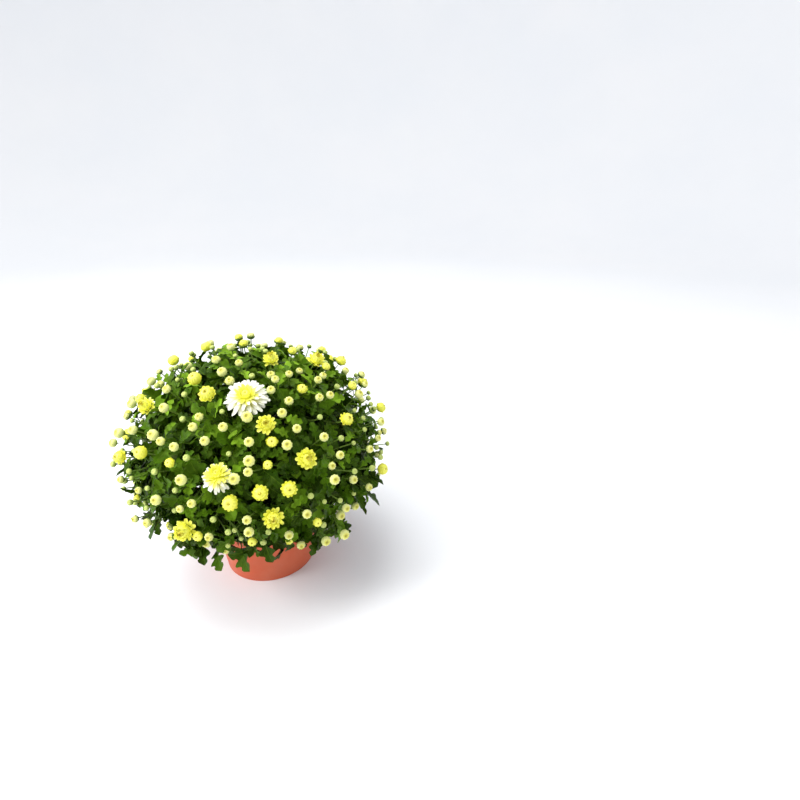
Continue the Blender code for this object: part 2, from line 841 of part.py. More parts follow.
# Stems


def foot_of(cone):
    """The lower end of a stem, in its hole in the soil. The feet follow the order of the cones."""
    from_axis = FOOT_CIRCLE * math.sqrt((cone.number + 0.5) / STEM_COUNT)
    azimuth = math.atan2(cone.axis.y, cone.axis.x)
    bottom = SOIL_TOP - HOLE_DEPTH + GAP
    return Vector((from_axis * math.cos(azimuth), from_axis * math.sin(azimuth), bottom))


def bezier(start, first, second, end, steps):
    points = []
    for i in range(steps + 1):
        t = i / steps
        u = 1 - t
        points.append(start * u**3 + first * 3 * u * u * t + second * 3 * u * t * t + end * t**3)
    return points


def stem_mesh(cone):
    """A tube up from the soil that bends out over the rim and ends inside the core."""
    foot = foot_of(cone)
    soil_line = foot + UP * (HOLE_DEPTH + SOIL_CROWN)
    knee = cone.along(KNEE_SHARE)
    lean = PATH_LEAN * (knee - soil_line).length
    path = [foot]
    path += bezier(soil_line, soil_line + UP * lean, knee - cone.axis * lean, knee, 3)
    path.append(cone.along(TIP_SHARE))
    curve = bpy.data.curves.new("stem", "CURVE")
    curve.dimensions = "3D"
    curve.bevel_depth = STEM_RADIUS
    curve.bevel_resolution = 0
    curve.use_fill_caps = True
    spline = curve.splines.new("POLY")
    spline.points.add(len(path) - 1)
    for point, place in zip(spline.points, path):
        point.co = (*place, 1)
    return curve_mesh(curve)


def curve_mesh(curve):
    """The closed mesh of a curve with a bevel, with its caps welded on."""
    made = bpy.data.objects.new("stem_curve", curve)
    HELPERS.objects.link(made)
    bpy.context.view_layer.update()
    graph = bpy.context.evaluated_depsgraph_get()
    mesh = bpy.data.meshes.new_from_object(made.evaluated_get(graph))
    bpy.data.objects.remove(made, do_unlink=True)
    mesh.materials.clear()
    bm = bmesh.new()
    bm.from_mesh(mesh)
    bmesh.ops.remove_doubles(bm, verts=bm.verts, dist=0.01 * MM)
    bpy.data.meshes.remove(mesh)
    return mesh_of(bm, "stem", STEM_FACE)


def on_cell(cone, out, wide, share):
    """A point at a share of the shell's radius, moved sideways from the cone's axis."""
    direction = (cone.axis * cone.reach * share + out * wide).normalized()
    return BUSH_CENTRE + direction * leafy_radius(direction) * share


def way_out(cone, out, share):
    """How far a point can move sideways before it leaves its cone or meets the pot."""
    wide = 0.0
    while wide < CORE_WIDEST:
        point = on_cell(cone, out, wide + MM, share)
        if cone.room(point) < CORE_CLEAR or not clear_of_pot(point, CORE_SPARE):
            break
        wide += MM
    return wide


def core_ring(cone, share, fullness, draw):
    """Points round a cone, each the furthest out of its sector, so the cone's corners are kept."""
    first, second = across(cone.axis)
    sector = math.tau / CORE_SIDES
    points = []
    for i in range(CORE_SIDES):
        found = []
        for step in range(-3, 4):
            angle = (i + step / 8) * sector
            out = first * math.cos(angle) + second * math.sin(angle)
            found.append((way_out(cone, out, share), step, out))
        wide, _, out = max(found)
        stray = draw.uniform(1 - CORE_STRAY, 1 + CORE_STRAY)
        points.append(on_cell(cone, out, wide * fullness, share * stray))
    return points


def core_mesh(cone, zones):
    """The dense heart of a leafy stem, as wide as its cone, which its leaves stand out of."""
    fullness = 1.0
    while True:
        draw = random.Random("core %d" % cone.number)
        rings = [[cone.along(CORE_SPAN[0])]]
        rings += [core_ring(cone, share, part * fullness, draw) for share, part in CORE_ROWS]
        rings.append([cone.along(CORE_SPAN[1])])
        mesh = skinned("core", rings, LEAF_FACE)
        if fits(cone, mesh, zones):
            return mesh
        bpy.data.meshes.remove(mesh)
        fullness *= 0.97


def make_leafy_stem(cone, heads, zones):
    meshes = [stem_mesh(cone), core_mesh(cone, zones)]
    for head in heads:
        if head.cone is cone:
            meshes.append(calyx_mesh(head) if head.kind in ("bloom", "daisy") else bud_mesh(head))
    trees = [tree_of(mesh) for mesh in meshes[2:]]
    middles = []
    for number in range(cone.leaves):
        leaf = place_leaf(cone, number, zones, trees, middles)
        if leaf:
            meshes.append(leaf)
            trees.append(tree_of(leaf))
            middles.append(blade_middle(leaf))
    return fused("leafy_stem_%02d" % (cone.number + 1), meshes, STEM_MATERIALS)


def settled(found, all_cones, blooms):
    """Settles buds, and keeps those whose bud and stalk stay in their cone and out of the blooms."""
    kept = []
    for head in found:
        head.settle(all_cones)
        mesh = bud_mesh(head)
        if fits(head.cone, mesh, [bloom.zone for bloom in blooms]):
            kept.append(head)
        bpy.data.meshes.remove(mesh)
    return kept


def main():
    all_cones = cones()
    blooms = named_blooms()
    blooms += back_blooms(blooms)
    for bloom in blooms:
        bloom.settle(all_cones)
    small = settled(buds(blooms), all_cones, blooms)
    zones = [head.zone for head in blooms + small]
    make_pot()
    make_soil([foot_of(cone) for cone in all_cones])
    for cone in all_cones:
        make_leafy_stem(cone, blooms + small, zones)
    for bloom in blooms:
        if bloom.name == "bloom_daisy":
            make_daisy(bloom, ((10, 1.0, 6, 0.06), (8, 0.86, 16, 0.12)), 0.46, 0.34)
        elif bloom.name == "bloom_half_daisy":
            make_daisy(bloom, ((10, 1.0, 18, 0.08),), 0.72, 0.62)
        else:
            object_of(bloom.name, bloom_mesh(bloom), (PETAL_YELLOW,))


main()
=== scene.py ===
import json
import math
import random

import bmesh
import bpy
import numpy as np
from mathutils import Matrix, Vector, noise

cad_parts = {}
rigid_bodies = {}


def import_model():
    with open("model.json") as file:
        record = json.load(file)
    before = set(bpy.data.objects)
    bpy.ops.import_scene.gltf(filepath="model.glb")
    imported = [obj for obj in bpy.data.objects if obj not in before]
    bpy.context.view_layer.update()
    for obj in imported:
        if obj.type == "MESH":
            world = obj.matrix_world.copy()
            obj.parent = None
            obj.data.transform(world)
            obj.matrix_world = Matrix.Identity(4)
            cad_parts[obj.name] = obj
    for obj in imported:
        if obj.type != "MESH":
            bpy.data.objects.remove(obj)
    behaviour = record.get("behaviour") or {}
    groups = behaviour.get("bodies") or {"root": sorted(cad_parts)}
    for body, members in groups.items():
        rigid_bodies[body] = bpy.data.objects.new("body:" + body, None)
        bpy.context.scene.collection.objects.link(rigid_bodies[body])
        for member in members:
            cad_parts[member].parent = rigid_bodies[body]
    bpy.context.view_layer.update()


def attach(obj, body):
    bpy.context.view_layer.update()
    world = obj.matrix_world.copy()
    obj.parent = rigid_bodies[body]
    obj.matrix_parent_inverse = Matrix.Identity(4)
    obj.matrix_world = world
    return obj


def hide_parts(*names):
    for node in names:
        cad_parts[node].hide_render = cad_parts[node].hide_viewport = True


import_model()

MM = 0.001
UP = Vector((0, 0, 1))
GOLDEN_ANGLE = math.radians(137.508)
BODY = "root"


def mm(*lengths):
    """Lengths in millimetres, in the scene's metres."""
    return tuple(length * MM for length in lengths)


# The pot and its soil, as in the frame
POT_HEIGHT = 122 * MM
POT_RIM_RADIUS = 70 * MM
POT_BASE_RADIUS = 53.5 * MM
POT_WALL = 1.8 * MM
POT_FLOOR = 2.2 * MM
BAND_HEIGHT = 13 * MM
BAND_PROUD = 2.2 * MM
FOOT_WIDTH = 6 * MM
PAD_RADIUS = 30 * MM
FOOT_LIFT = 1.5 * MM
DRAIN_COUNT = 6
DRAIN_RADIUS = 4 * MM
SOIL_TOP = 111.5 * MM
SOIL_CROWN = 3 * MM
HOLE_DEPTH = 12 * MM
GAP = 0.3 * MM
CORNER_RADIUS = 0.6 * MM
CORNER_PULL = 0.6
MERGE = 0.01 * MM
SOIL_RINGS = 34
# The soil's crumbs and lumps: scales, kind of the crumbs' noise, and heights in millimetres
CRUMB_SCALE, LUMP_SCALE = 220, 60
CRUMB_NOISE = (0.7, 2.1, 4)
CRUMB_HEIGHT, LUMP_HEIGHT, CRUMB_SINK = 1.1, 1.3, 0.8
SMOOTH_EDGE = 0.5 * MM

# The bush: an egg-shaped shell through the middles of its outer flower heads
BUSH_CENTRE = Vector((0, 0, 160 * MM))
BUSH_SIDE = 149 * MM
BUSH_ABOVE = 115 * MM
BUSH_BELOW = 90 * MM
LOWEST_POLAR_ANGLE = math.radians(113)
HEM_DROP = 90 * MM
HEM_SQUARENESS = 4
SKIRT_HEIGHT = 68 * MM
CLEAR = 0.45 * MM
RIM_CLEAR = 2 * MM
# The hem is lifted in front, where the photograph shows the side of the pot
FRONT = Vector((0.10, -0.995, 0))
FRONT_LIFT = 17 * MM

# The leafy stems stand in rings round the bush: how many, and how many degrees from straight up
STEM_RINGS = ((3, 20), (6, 49), (7, 78), (8, 105))
STEM_COUNT = sum(count for count, angle in STEM_RINGS)
STEM_STRAY = 4
FOOT_CIRCLE = 35 * MM
KNEE_SHARE = 0.40
PATH_LEAN = 0.4

# The photograph's camera: its place, pitch and lens, in an image of 800 by 800 pixels
CAMERA = Vector((164.4 * MM, -549.1 * MM, 465 * MM))
CAMERA_PITCH = math.radians(24.65)
FOCAL_PIXELS = 540.7
MIDDLE_PIXEL = 400
SENSOR_WIDTH = 36
NEAREST_SIGHT = 300 * MM
SIGHT_STEPS = 600

# Name: pixel across, pixel down, diameter in millimetres
DAISIES = {
    "daisy": (246, 396, 43),
    "half_daisy": (217, 475, 29),
}
FRONT_BLOOMS = {
    "upper_left": (195, 379, 17),
    "under_upper_left": (207, 394, 19),
    "left_shoulder": (146, 406, 18),
    "far_left": (139, 451, 16),
    "left_edge": (120, 457, 16),
    "by_daisy": (266, 424, 18),
    "frilled": (307, 459, 20),
    "low_middle": (260, 493, 17),
    "low_right": (289, 489, 17),
    "low_left": (230, 503, 18),
    "over_pot": (272, 517, 20),
    "bottom_left": (184, 531, 21),
    "top_middle": (271, 359, 17),
    "top_left": (205, 348, 15),
    "crown_left": (174, 361, 16),
    "crown_right": (316, 360, 19),
    "right_upper": (347, 419, 16),
    "right_edge": (382, 469, 16),
}
# How far the blooms have opened: these are closed balls and loose tufts, and the rest lie between
BALLS = ("upper_left", "far_left", "top_left", "right_edge")
TUFTS = ("left_shoulder", "by_daisy", "frilled", "over_pot", "bottom_left", "crown_right", "top_middle")
BACK_BLOOM_COUNT = 12
BACK_BLOOM_SPACING = 44 * MM
BACK_BLOOM_RADIUS = mm(7.5, 10)
BACK_BLOOM_POLAR = (math.radians(22), math.radians(102))
BACK_BLOOM_AZIMUTH = (math.radians(-27), math.radians(207))
BUD_SPACING = 35 * MM
BUD_TO_BLOOM = 0.6
BUD_DARTS = 900
BUD_SHARE = (0.96, 1.03)
BUD_RADIUS = mm(4.8, 6.0)
OPENING_RADIUS = mm(6.2, 7.2)
OPENING_CHANCE = 0.2
HEAD_RISE = 0.28
# Heads turn to the light in front: the further back they stand the less, and behind the edge not at all
LIGHT = Vector((0.10, -0.85, 0.50))
LIGHT_TURN = 0.75
LIGHT_EDGE = 0.60
# The half-open bloom faces up: its rays hang down on the left, under a flat yellow middle
HALF_RAYS_RISE = 0.6
HALF_RAYS_SHIFT = Vector((-1.6 * MM, 0, -2.4 * MM))
HALF_RAYS_SIZE = 0.9
HALF_MIDDLE_RISE = 1.7
HALF_MIDDLE_SIZE = 0.84
BLOOM_ELBOW_ROOM = 0.5
BUD_ELBOW_ROOM = 1.1
SETTLE_STEP = 0.05

# More heads of the photograph, by pixel: cups that open, and round cream buds
FRONT_CUPS = (
    (141, 399, 14), (170, 463, 12), (272, 421, 13), (272, 442, 13.5), (279, 341, 12), (322, 350, 12),
    (326, 367, 12), (302, 389, 13), (352, 386, 13), (340, 410, 13), (306, 426, 12), (375, 421, 13),
    (238, 333, 12), (198, 536, 13),
)
FRONT_BUDS = (
    (164, 408), (199, 417), (193, 427), (223, 427), (247, 417), (239, 363), (222, 372), (230, 381),
    (271, 375), (271, 390), (289, 374), (289, 401), (282, 413), (287, 445), (248, 472), (234, 479),
    (135, 519), (119, 433), (209, 537), (307, 514), (289, 535), (301, 545), (326, 541), (346, 536),
    (346, 508), (340, 455), (332, 466), (330, 395), (324, 437), (378, 438), (208, 340), (231, 347),
    (249, 342), (174, 447), (181, 480), (180, 509), (249, 461), (262, 463), (249, 532), (226, 550),
    (153, 435), (247, 520), (224, 499), (249, 442), (318, 380),
)
FRONT_BUD_RADIUS = mm(4.2, 5.6)
FURTHEST_BUD_SHARE = 1.02
CUP_APART = 8 * MM
BUD_APART = 7 * MM
BUD_SHRINK = 0.9
FILL_DARTS = 6000
FILL_SPACING = 20.5 * MM
FILL_SHARE = (0.93, 1.02)
GREEN_BELOW = 0.42
OPENING_ABOVE = 0.93
GREEN_SPACING = 0.72
GREEN_BUD_RADIUS = mm(2.4, 3.4)
FILL_BUD_RADIUS = mm(3.8, 5.4)


# Pieces

SHARP_EDGE = math.radians(70)
NEAR_X = 0.8
TINY = 1e-12
# How late the heart's own colour comes in, towards the top of a knob
HEART_SHARPNESS = 2


class Heap:
    """Gathers many small closed bodies into the mesh of one piece. Its leaves keep clear of the spots.

    Every point carries three numbers for the materials: how far along its blade it is, how far across,
    and the body's tone: its own, except that in leaves it is partly painted light and shade, and in petals
    painted shade."""

    def __init__(self, spots=None):
        self.points = []
        self.faces = []
        self.marks = []
        self.count = 0
        self.spots = spots

    def add(self, points, faces, along, across, tone):
        self.points.append(points)
        self.faces += [tuple(i + self.count for i in face) for face in faces]
        self.marks.append(np.column_stack((along, across, np.full(len(points), tone))))
        self.count += len(points)

    def piece(self, name, material, slot, *nodes):
        mesh = bpy.data.meshes.new(name)
        mesh.from_pydata(np.concatenate(self.points).tolist(), [], self.faces)
        for column, mark in enumerate(("along", "across", "tone")):
            attribute = mesh.attributes.new(mark, "FLOAT", "POINT")
            attribute.data.foreach_set("value", np.concatenate(self.marks)[:, column].astype(np.float32))
        return finished(name, mesh, material, slot, *nodes)


def linked(name, data):
    """A new object in the scene."""
    made = bpy.data.objects.new(name, data)
    bpy.context.scene.collection.objects.link(made)
    return made


def finished(name, mesh, material, slot, *nodes):
    """Makes a piece of a mesh, lets it ride, and hides the nodes that it stands for."""
    mesh.name = name
    mesh.shade_smooth()
    mesh.set_sharp_from_angle(angle=SHARP_EDGE)
    made = linked(name, mesh)
    mesh.materials.append(material)
    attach(made, BODY)
    if nodes:
        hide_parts(*nodes)
    return made


def across(direction):
    """Two unit vectors square to a direction and to each other."""
    helper = Vector((1, 0, 0)) if abs(direction.x) < NEAR_X else Vector((0, 1, 0))
    first = direction.cross(helper).normalized()
    return first, direction.cross(first)


def sheet_faces(rows, columns):
    """Faces of a closed blade: an upper grid, and a lower one that shares its edge."""
    upper = np.arange(rows * columns).reshape(rows, columns)
    lower = upper.copy()
    inner = np.arange((rows - 2) * (columns - 2)).reshape(rows - 2, columns - 2)
    lower[1:-1, 1:-1] = rows * columns + inner
    faces = []
    for r in range(rows - 1):
        for c in range(columns - 1):
            faces.append(upper[[r, r + 1, r + 1, r], [c, c, c + 1, c + 1]].tolist())
            faces.append(lower[[r, r, r + 1, r + 1], [c, c + 1, c + 1, c]].tolist())
    return faces


def sheet(grid, thickness):
    """Points of a closed blade round a grid of points, thickest in its middle and closed at its edge."""
    down = np.gradient(grid, axis=0)
    over = np.gradient(grid, axis=1)
    normals = np.cross(down, over)
    normals /= np.maximum(np.linalg.norm(normals, axis=2, keepdims=True), TINY)
    half = normals * thickness / 2
    upper = grid.copy()
    upper[1:-1, 1:-1] += half[1:-1, 1:-1]
    lower = (grid - half)[1:-1, 1:-1]
    return np.concatenate((upper.reshape(-1, 3), lower.reshape(-1, 3)))


def sheet_marks(rows, columns):
    along, over = np.meshgrid(np.linspace(0, 1, rows), np.linspace(-1, 1, columns), indexing="ij")
    both = [np.concatenate((mark.reshape(-1), mark[1:-1, 1:-1].reshape(-1))) for mark in (along, over)]
    return both[0], both[1]


def placed(points, origin, x_axis, y_axis, z_axis):
    """Local points, put at an origin with three axes."""
    return points @ np.array((x_axis, y_axis, z_axis)) + np.array(origin)


def add_tube(heap, path, radii, sides, tone):
    """A closed tube along a path, with flat ends."""
    rings = []
    for i, point in enumerate(path):
        ahead = path[min(i + 1, len(path) - 1)] - path[max(i - 1, 0)]
        first, second = across(ahead.normalized())
        for s in range(sides):
            angle = math.tau * s / sides
            rings.append(point + (first * math.cos(angle) + second * math.sin(angle)) * radii[i])
    faces = []
    for i in range(len(path) - 1):
        for s in range(sides):
            t = (s + 1) % sides
            faces.append((i * sides + s, i * sides + t, (i + 1) * sides + t, (i + 1) * sides + s))
    faces.append(tuple(reversed(range(sides))))
    faces.append(tuple(range((len(path) - 1) * sides, len(path) * sides)))
    along = np.repeat(np.linspace(0, 1, len(path)), sides)
    heap.add(np.array(rings), faces, along, np.zeros(len(rings)), tone)


def add_knob(heap, origin, axis, radius, profile, sides, twist, tone, turn=0.0):
    """A closed round body: a profile of (radius, height, flute depth) turned round an axis, with a twist in
    radians from ring to ring."""
    first, second = across(axis)
    flutes = sides // 2
    points, along = [], []
    for row, (wide, high, depth) in enumerate(profile[1:-1]):
        for s in range(sides):
            angle = turn + math.tau * s / sides + twist * row
            flute = 1 - depth * (0.5 - 0.5 * math.cos(flutes * math.tau * s / sides))
            points.append((wide * flute * math.cos(angle), wide * flute * math.sin(angle), high))
            along.append((row + 1) / (len(profile) - 1))
    rows = len(profile) - 2
    points += [(0, 0, profile[0][1]), (0, 0, profile[-1][1])]
    along += [0.0, 1.0]
    bottom, top = rows * sides, rows * sides + 1
    faces = []
    for s in range(sides):
        t = (s + 1) % sides
        faces.append((bottom, t, s))
        faces.append((top, (rows - 1) * sides + s, (rows - 1) * sides + t))
        for row in range(rows - 1):
            faces.append((row * sides + s, row * sides + t, (row + 1) * sides + t, (row + 1) * sides + s))
    local = placed(np.array(points) * radius, origin, first, second, axis)
    along = np.array(along)
    heap.add(local, faces, along, along**HEART_SHARPNESS, tone)


def bezier(start, first, second, end, steps):
    points = []
    for i in range(steps + 1):
        t = i / steps
        u = 1 - t
        points.append(start * u**3 + first * 3 * u * u * t + second * 3 * u * t * t + end * t**3)
    return points


# The shell of the bush, its cones and its heads, as in the frame


def polar(angle_from_up, azimuth):
    flat = math.sin(angle_from_up)
    return Vector((flat * math.cos(azimuth), flat * math.sin(azimuth), math.cos(angle_from_up)))


def shell_radius(direction):
    height = BUSH_ABOVE if direction.z > 0 else BUSH_BELOW
    flat = math.hypot(direction.x, direction.y) / BUSH_SIDE
    return 1 / math.hypot(flat, direction.z / height)


def on_shell(direction, share=1.0):
    return BUSH_CENTRE + direction * shell_radius(direction) * share


def shell_share(point):
    arm = point - BUSH_CENTRE
    return arm.length / shell_radius(arm.normalized())


def leaf_share(point):
    """How far out a point of a leaf is: 1 is the shell, or under its waist the squarer hem of leaves."""
    arm = point - BUSH_CENTRE
    if arm.z > 0:
        return shell_share(point)
    flat, drop = math.hypot(arm.x, arm.y) / BUSH_SIDE, -arm.z / HEM_DROP
    return (flat**HEM_SQUARENESS + drop**HEM_SQUARENESS) ** (1 / HEM_SQUARENESS)


def at_pixel(across_pixels, down_pixels):
    """Where the photograph's line of sight through a pixel meets the shell, or passes it most closely."""
    ahead = Vector((0, math.cos(CAMERA_PITCH), -math.sin(CAMERA_PITCH)))
    down = Vector((0, -math.sin(CAMERA_PITCH), -math.cos(CAMERA_PITCH)))
    sight = ahead * FOCAL_PIXELS + down * (down_pixels - MIDDLE_PIXEL)
    sight.x = across_pixels - MIDDLE_PIXEL
    sight.normalize()
    best, best_share = CAMERA, math.inf
    for step in range(SIGHT_STEPS):
        point = CAMERA + sight * (NEAREST_SIGHT + step * MM)
        share = shell_share(point)
        if share < best_share:
            best, best_share = point, share
        if share <= 1:
            break
    return best


def on_bush(point):
    """A point that is well outside the leaves, moved in to just over them."""
    return BUSH_CENTRE + (point - BUSH_CENTRE) * min(1, FURTHEST_BUD_SHARE / leaf_share(point))


def clear_of_pot(point):
    """True over the pot's rim, or outside it and above the hem of the bush."""
    from_axis = math.hypot(point.x, point.y)
    if from_axis < POT_RIM_RADIUS + RIM_CLEAR:
        return point.z > POT_HEIGHT + RIM_CLEAR
    return point.z > SKIRT_HEIGHT + FRONT_LIFT * max(0, FRONT.dot(point) / from_axis) ** 2


class Cone:
    """The space of one leafy stem: its axis from the bush's middle, and the walls to the others."""

    def __init__(self, number, axis, others):
        self.number = number
        self.axis = axis
        near = [other for other in others if other != axis and other.dot(axis) > 0]
        self.walls = [(axis - other).normalized() for other in near]
        self.reach = shell_radius(axis)

    def room(self, point):
        arm = point - BUSH_CENTRE
        return min(wall.dot(arm) for wall in self.walls)

    def along(self, share):
        return BUSH_CENTRE + self.axis * self.reach * share


def cones():
    """The stems' cones, in staggered rings over the shell, each strayed a little."""
    axes = []
    for row, (count, angle) in enumerate(STEM_RINGS):
        for i in range(count):
            draw = random.Random("stem %d %d" % (row, i))
            azimuth = 360 * (i + 0.5 * row) / count + draw.uniform(-STEM_STRAY, STEM_STRAY)
            lean = angle + draw.uniform(-STEM_STRAY, STEM_STRAY) / 2
            axes.append(polar(math.radians(lean), math.radians(azimuth)))
    return [Cone(i, axis, axes) for i, axis in enumerate(axes)]


class Head:
    """A flower head: its name, kind, the middle of its widest ring, and its radius."""

    def __init__(self, name, kind, place, radius, rise=HEAD_RISE):
        self.name = name
        self.kind = kind
        self.place = place
        self.radius = radius
        self.rise = rise
        self.cone = None

    def settle(self, all_cones, elbow_room=0.0):
        """Gives the head to the cone it is deepest in, and moves it in until it is clear of the walls."""
        self.cone = max(all_cones, key=lambda cone: cone.room(self.place))
        need = CLEAR + elbow_room * self.radius
        aim = self.cone.along((self.place - BUSH_CENTRE).length / self.cone.reach)
        while elbow_room and self.cone.room(self.place) < need:
            self.place = self.place.lerp(aim, SETTLE_STEP)

    @property
    def axis(self):
        outward = (self.place - BUSH_CENTRE).normalized()
        lean = 0 if self.kind == "daisy" else LIGHT_TURN * min(max(LIGHT_EDGE - outward.y, 0), 1)
        return (outward + UP * self.rise + LIGHT * lean).normalized()


def named_blooms():
    found = []
    for kind, table in (("daisy", DAISIES), ("bloom", FRONT_BLOOMS)):
        for name, (column, row, diameter) in table.items():
            found.append(Head("bloom_" + name, kind, at_pixel(column, row), diameter / 2 * MM))
    return found


def far_enough(place, heads, spacing):
    return all((place - head.place).length > spacing + head.radius / 2 for head in heads)


def back_blooms(taken):
    found = []
    draw = random.Random("back blooms")
    while len(found) < BACK_BLOOM_COUNT:
        height = draw.uniform(*[math.cos(angle) for angle in BACK_BLOOM_POLAR])
        direction = polar(math.acos(height), draw.uniform(*BACK_BLOOM_AZIMUTH))
        radius = draw.uniform(*BACK_BLOOM_RADIUS)
        if far_enough(on_shell(direction), taken + found, BACK_BLOOM_SPACING):
            name = "bloom_back_%02d" % (len(found) + 1)
            found.append(Head(name, "bloom", on_shell(direction), radius))
    return found


def dart_place(draw, shares):
    """A random place, in any direction above the lowest and between two shares of the shell's radius."""
    height = draw.uniform(math.cos(LOWEST_POLAR_ANGLE), 1)
    direction = polar(math.acos(height), draw.uniform(0, math.tau))
    return on_shell(direction, draw.uniform(*shares))


def frame_buds(taken):
    """The buds that the frame has too."""
    found = []
    draw = random.Random("buds")
    for dart in range(BUD_DARTS):
        place = dart_place(draw, BUD_SHARE)
        opening = draw.random() < OPENING_CHANCE
        radius = draw.uniform(*(OPENING_RADIUS if opening else BUD_RADIUS))
        if far_enough(place, found, BUD_SPACING) and far_enough(place, taken, BUD_TO_BLOOM * BUD_SPACING):
            found.append(Head("bud_%03d" % dart, "opening" if opening else "bud", place, radius))
    return found


def photo_buds(taken):
    """The cups and buds that the photograph shows, where the frame has no head yet."""
    found = []
    draw = random.Random("photo buds")
    for column, row, *diameter in FRONT_CUPS + FRONT_BUDS:
        place = on_bush(at_pixel(column, row))
        radius = diameter[0] / 2 * MM if diameter else draw.uniform(*FRONT_BUD_RADIUS)
        if far_enough(place, taken + found, CUP_APART if diameter else BUD_APART):
            found.append(Head("photo", "opening" if diameter else "bud", place, radius))
    return found


def fill_buds(taken):
    """Smaller heads between the others, thick all over the shell: cream buds, and young green ones."""
    found = []
    draw = random.Random("fill")
    for dart in range(FILL_DARTS):
        place = dart_place(draw, FILL_SHARE)
        chance = draw.random()
        kind = "green" if chance < GREEN_BELOW else "opening" if chance > OPENING_ABOVE else "bud"
        sizes = {"green": GREEN_BUD_RADIUS, "bud": FILL_BUD_RADIUS, "opening": OPENING_RADIUS}[kind]
        radius = draw.uniform(*sizes)
        spacing = FILL_SPACING * (GREEN_SPACING if kind == "green" else 1.0)
        if far_enough(place, taken + found, spacing):
            found.append(Head("fill", kind, place, radius))
    return found


# Leaves

# Half of a leaf's edge, from its foot to its tip: how far along, and how far out, as shares of its length
LEAF_EDGE = (
    (0.00, 0.02), (0.12, 0.17), (0.20, 0.26), (0.28, 0.25), (0.33, 0.13), (0.38, 0.12), (0.45, 0.26),
    (0.53, 0.335), (0.60, 0.31), (0.66, 0.18), (0.71, 0.15), (0.78, 0.205), (0.86, 0.185), (0.93, 0.10),
    (1.0, 0.015),
)
LEAF_ROWS = len(LEAF_EDGE)
LEAF_COLUMNS = 5
LEAF_FACES = sheet_faces(LEAF_ROWS, LEAF_COLUMNS)
LEAF_ALONG, LEAF_ACROSS = sheet_marks(LEAF_ROWS, LEAF_COLUMNS)
LEAF_THICKNESS = 0.55 * MM
# Between which values a leaf's bend, fold, wave, phase of the wave and twist lie, and then its width
LEAF_RANGES = ((0.25, 1.0), (-0.05, 0.35), (0.01, 0.05), (0, math.tau), (-0.4, 0.4))
LEAF_SLIM = (0.9, 1.12)
LEAF_ARCH = 0.045
LEAF_WAVES = 11
RIB_LAG = 0.10
RIB_BOW = 1.3
LEAF_REACH = 1.01
HEM_REACH = 1.04
LEAF_TILT = 0.45
# Where a leaf's painted shade, deep in the bush, gives way to painted light, as a share of the shell
INNER_SHADE_SHARE = 0.55
# How many millimetres a petiole sags, how deep it goes into the blade, and its radii
PETIOLE_SAG = 0.8
PETIOLE_INTO_BLADE = 0.06
PETIOLE_RADII = mm(0.75, 0.6, 0.55, 0.3)
# A leaf is lighter by chance; it is also lighter near the outside of the bush and high up, and darker deep
# inside it, which is painted light and shade
CHANCE_TONE, OUTER_PAINTED_LIGHT, HIGH_PAINTED_LIGHT, TONE_SHIFT = 0.62, 0.22, 0.28, 0.04
# How far outwards a head is kept clear of leaves, and how wide, as a share of its radius
HEAD_VIEW = 14 * MM
HEAD_VIEW_WIDTH = 0.9


def leaf_grid(length, bend, fold, wave, phase, twist, slim):
    """A lobed blade in its own frame: x across, y along and z up, with its foot at the origin."""
    along, out = np.array(LEAF_EDGE).T[:, :, None]
    over = np.linspace(-1, 1, LEAF_COLUMNS)
    swell = np.sin(along * math.pi)
    rib_share = np.clip(along - RIB_LAG * swell, 0, 1)
    y = rib_share + (along - rib_share) * np.abs(over) ** RIB_BOW
    x = out * slim * over
    z = fold * np.abs(x) - LEAF_ARCH * np.cos(over * math.pi) * swell
    z += wave * np.abs(over) ** 2 * np.sin(phase + along * LEAF_WAVES) * swell
    turn = bend * y
    new_y = np.sin(turn) / bend
    new_z = -(1 - np.cos(turn)) / bend
    roll = twist * along
    x, z = x * np.cos(roll) - z * np.sin(roll), x * np.sin(roll) + z * np.cos(roll)
    points = np.stack((x, new_y + z * np.sin(turn), new_z + z * np.cos(turn)), axis=2)
    return points * length


def open_spots(heads):
    """The space that each head keeps free of leaves: its own place, and a rod outwards from it."""
    places = np.array([head.place for head in heads])
    rods = np.array([(head.place - BUSH_CENTRE).normalized() * HEAD_VIEW for head in heads])
    return places, rods, np.array([head.radius * HEAD_VIEW_WIDTH for head in heads])


def hides_head(points, spots):
    """True where a blade would cut through a head or lie over it."""
    places, rods, widths = spots
    arms = points[None, :, :] - places[:, None, :]
    shares = np.clip(np.einsum("hpx,hx->hp", arms, rods) / HEAD_VIEW**2, 0, 1)
    gaps = np.linalg.norm(arms - shares[:, :, None] * rods[:, None, :], axis=2)
    return bool((gaps < widths[:, None]).any())


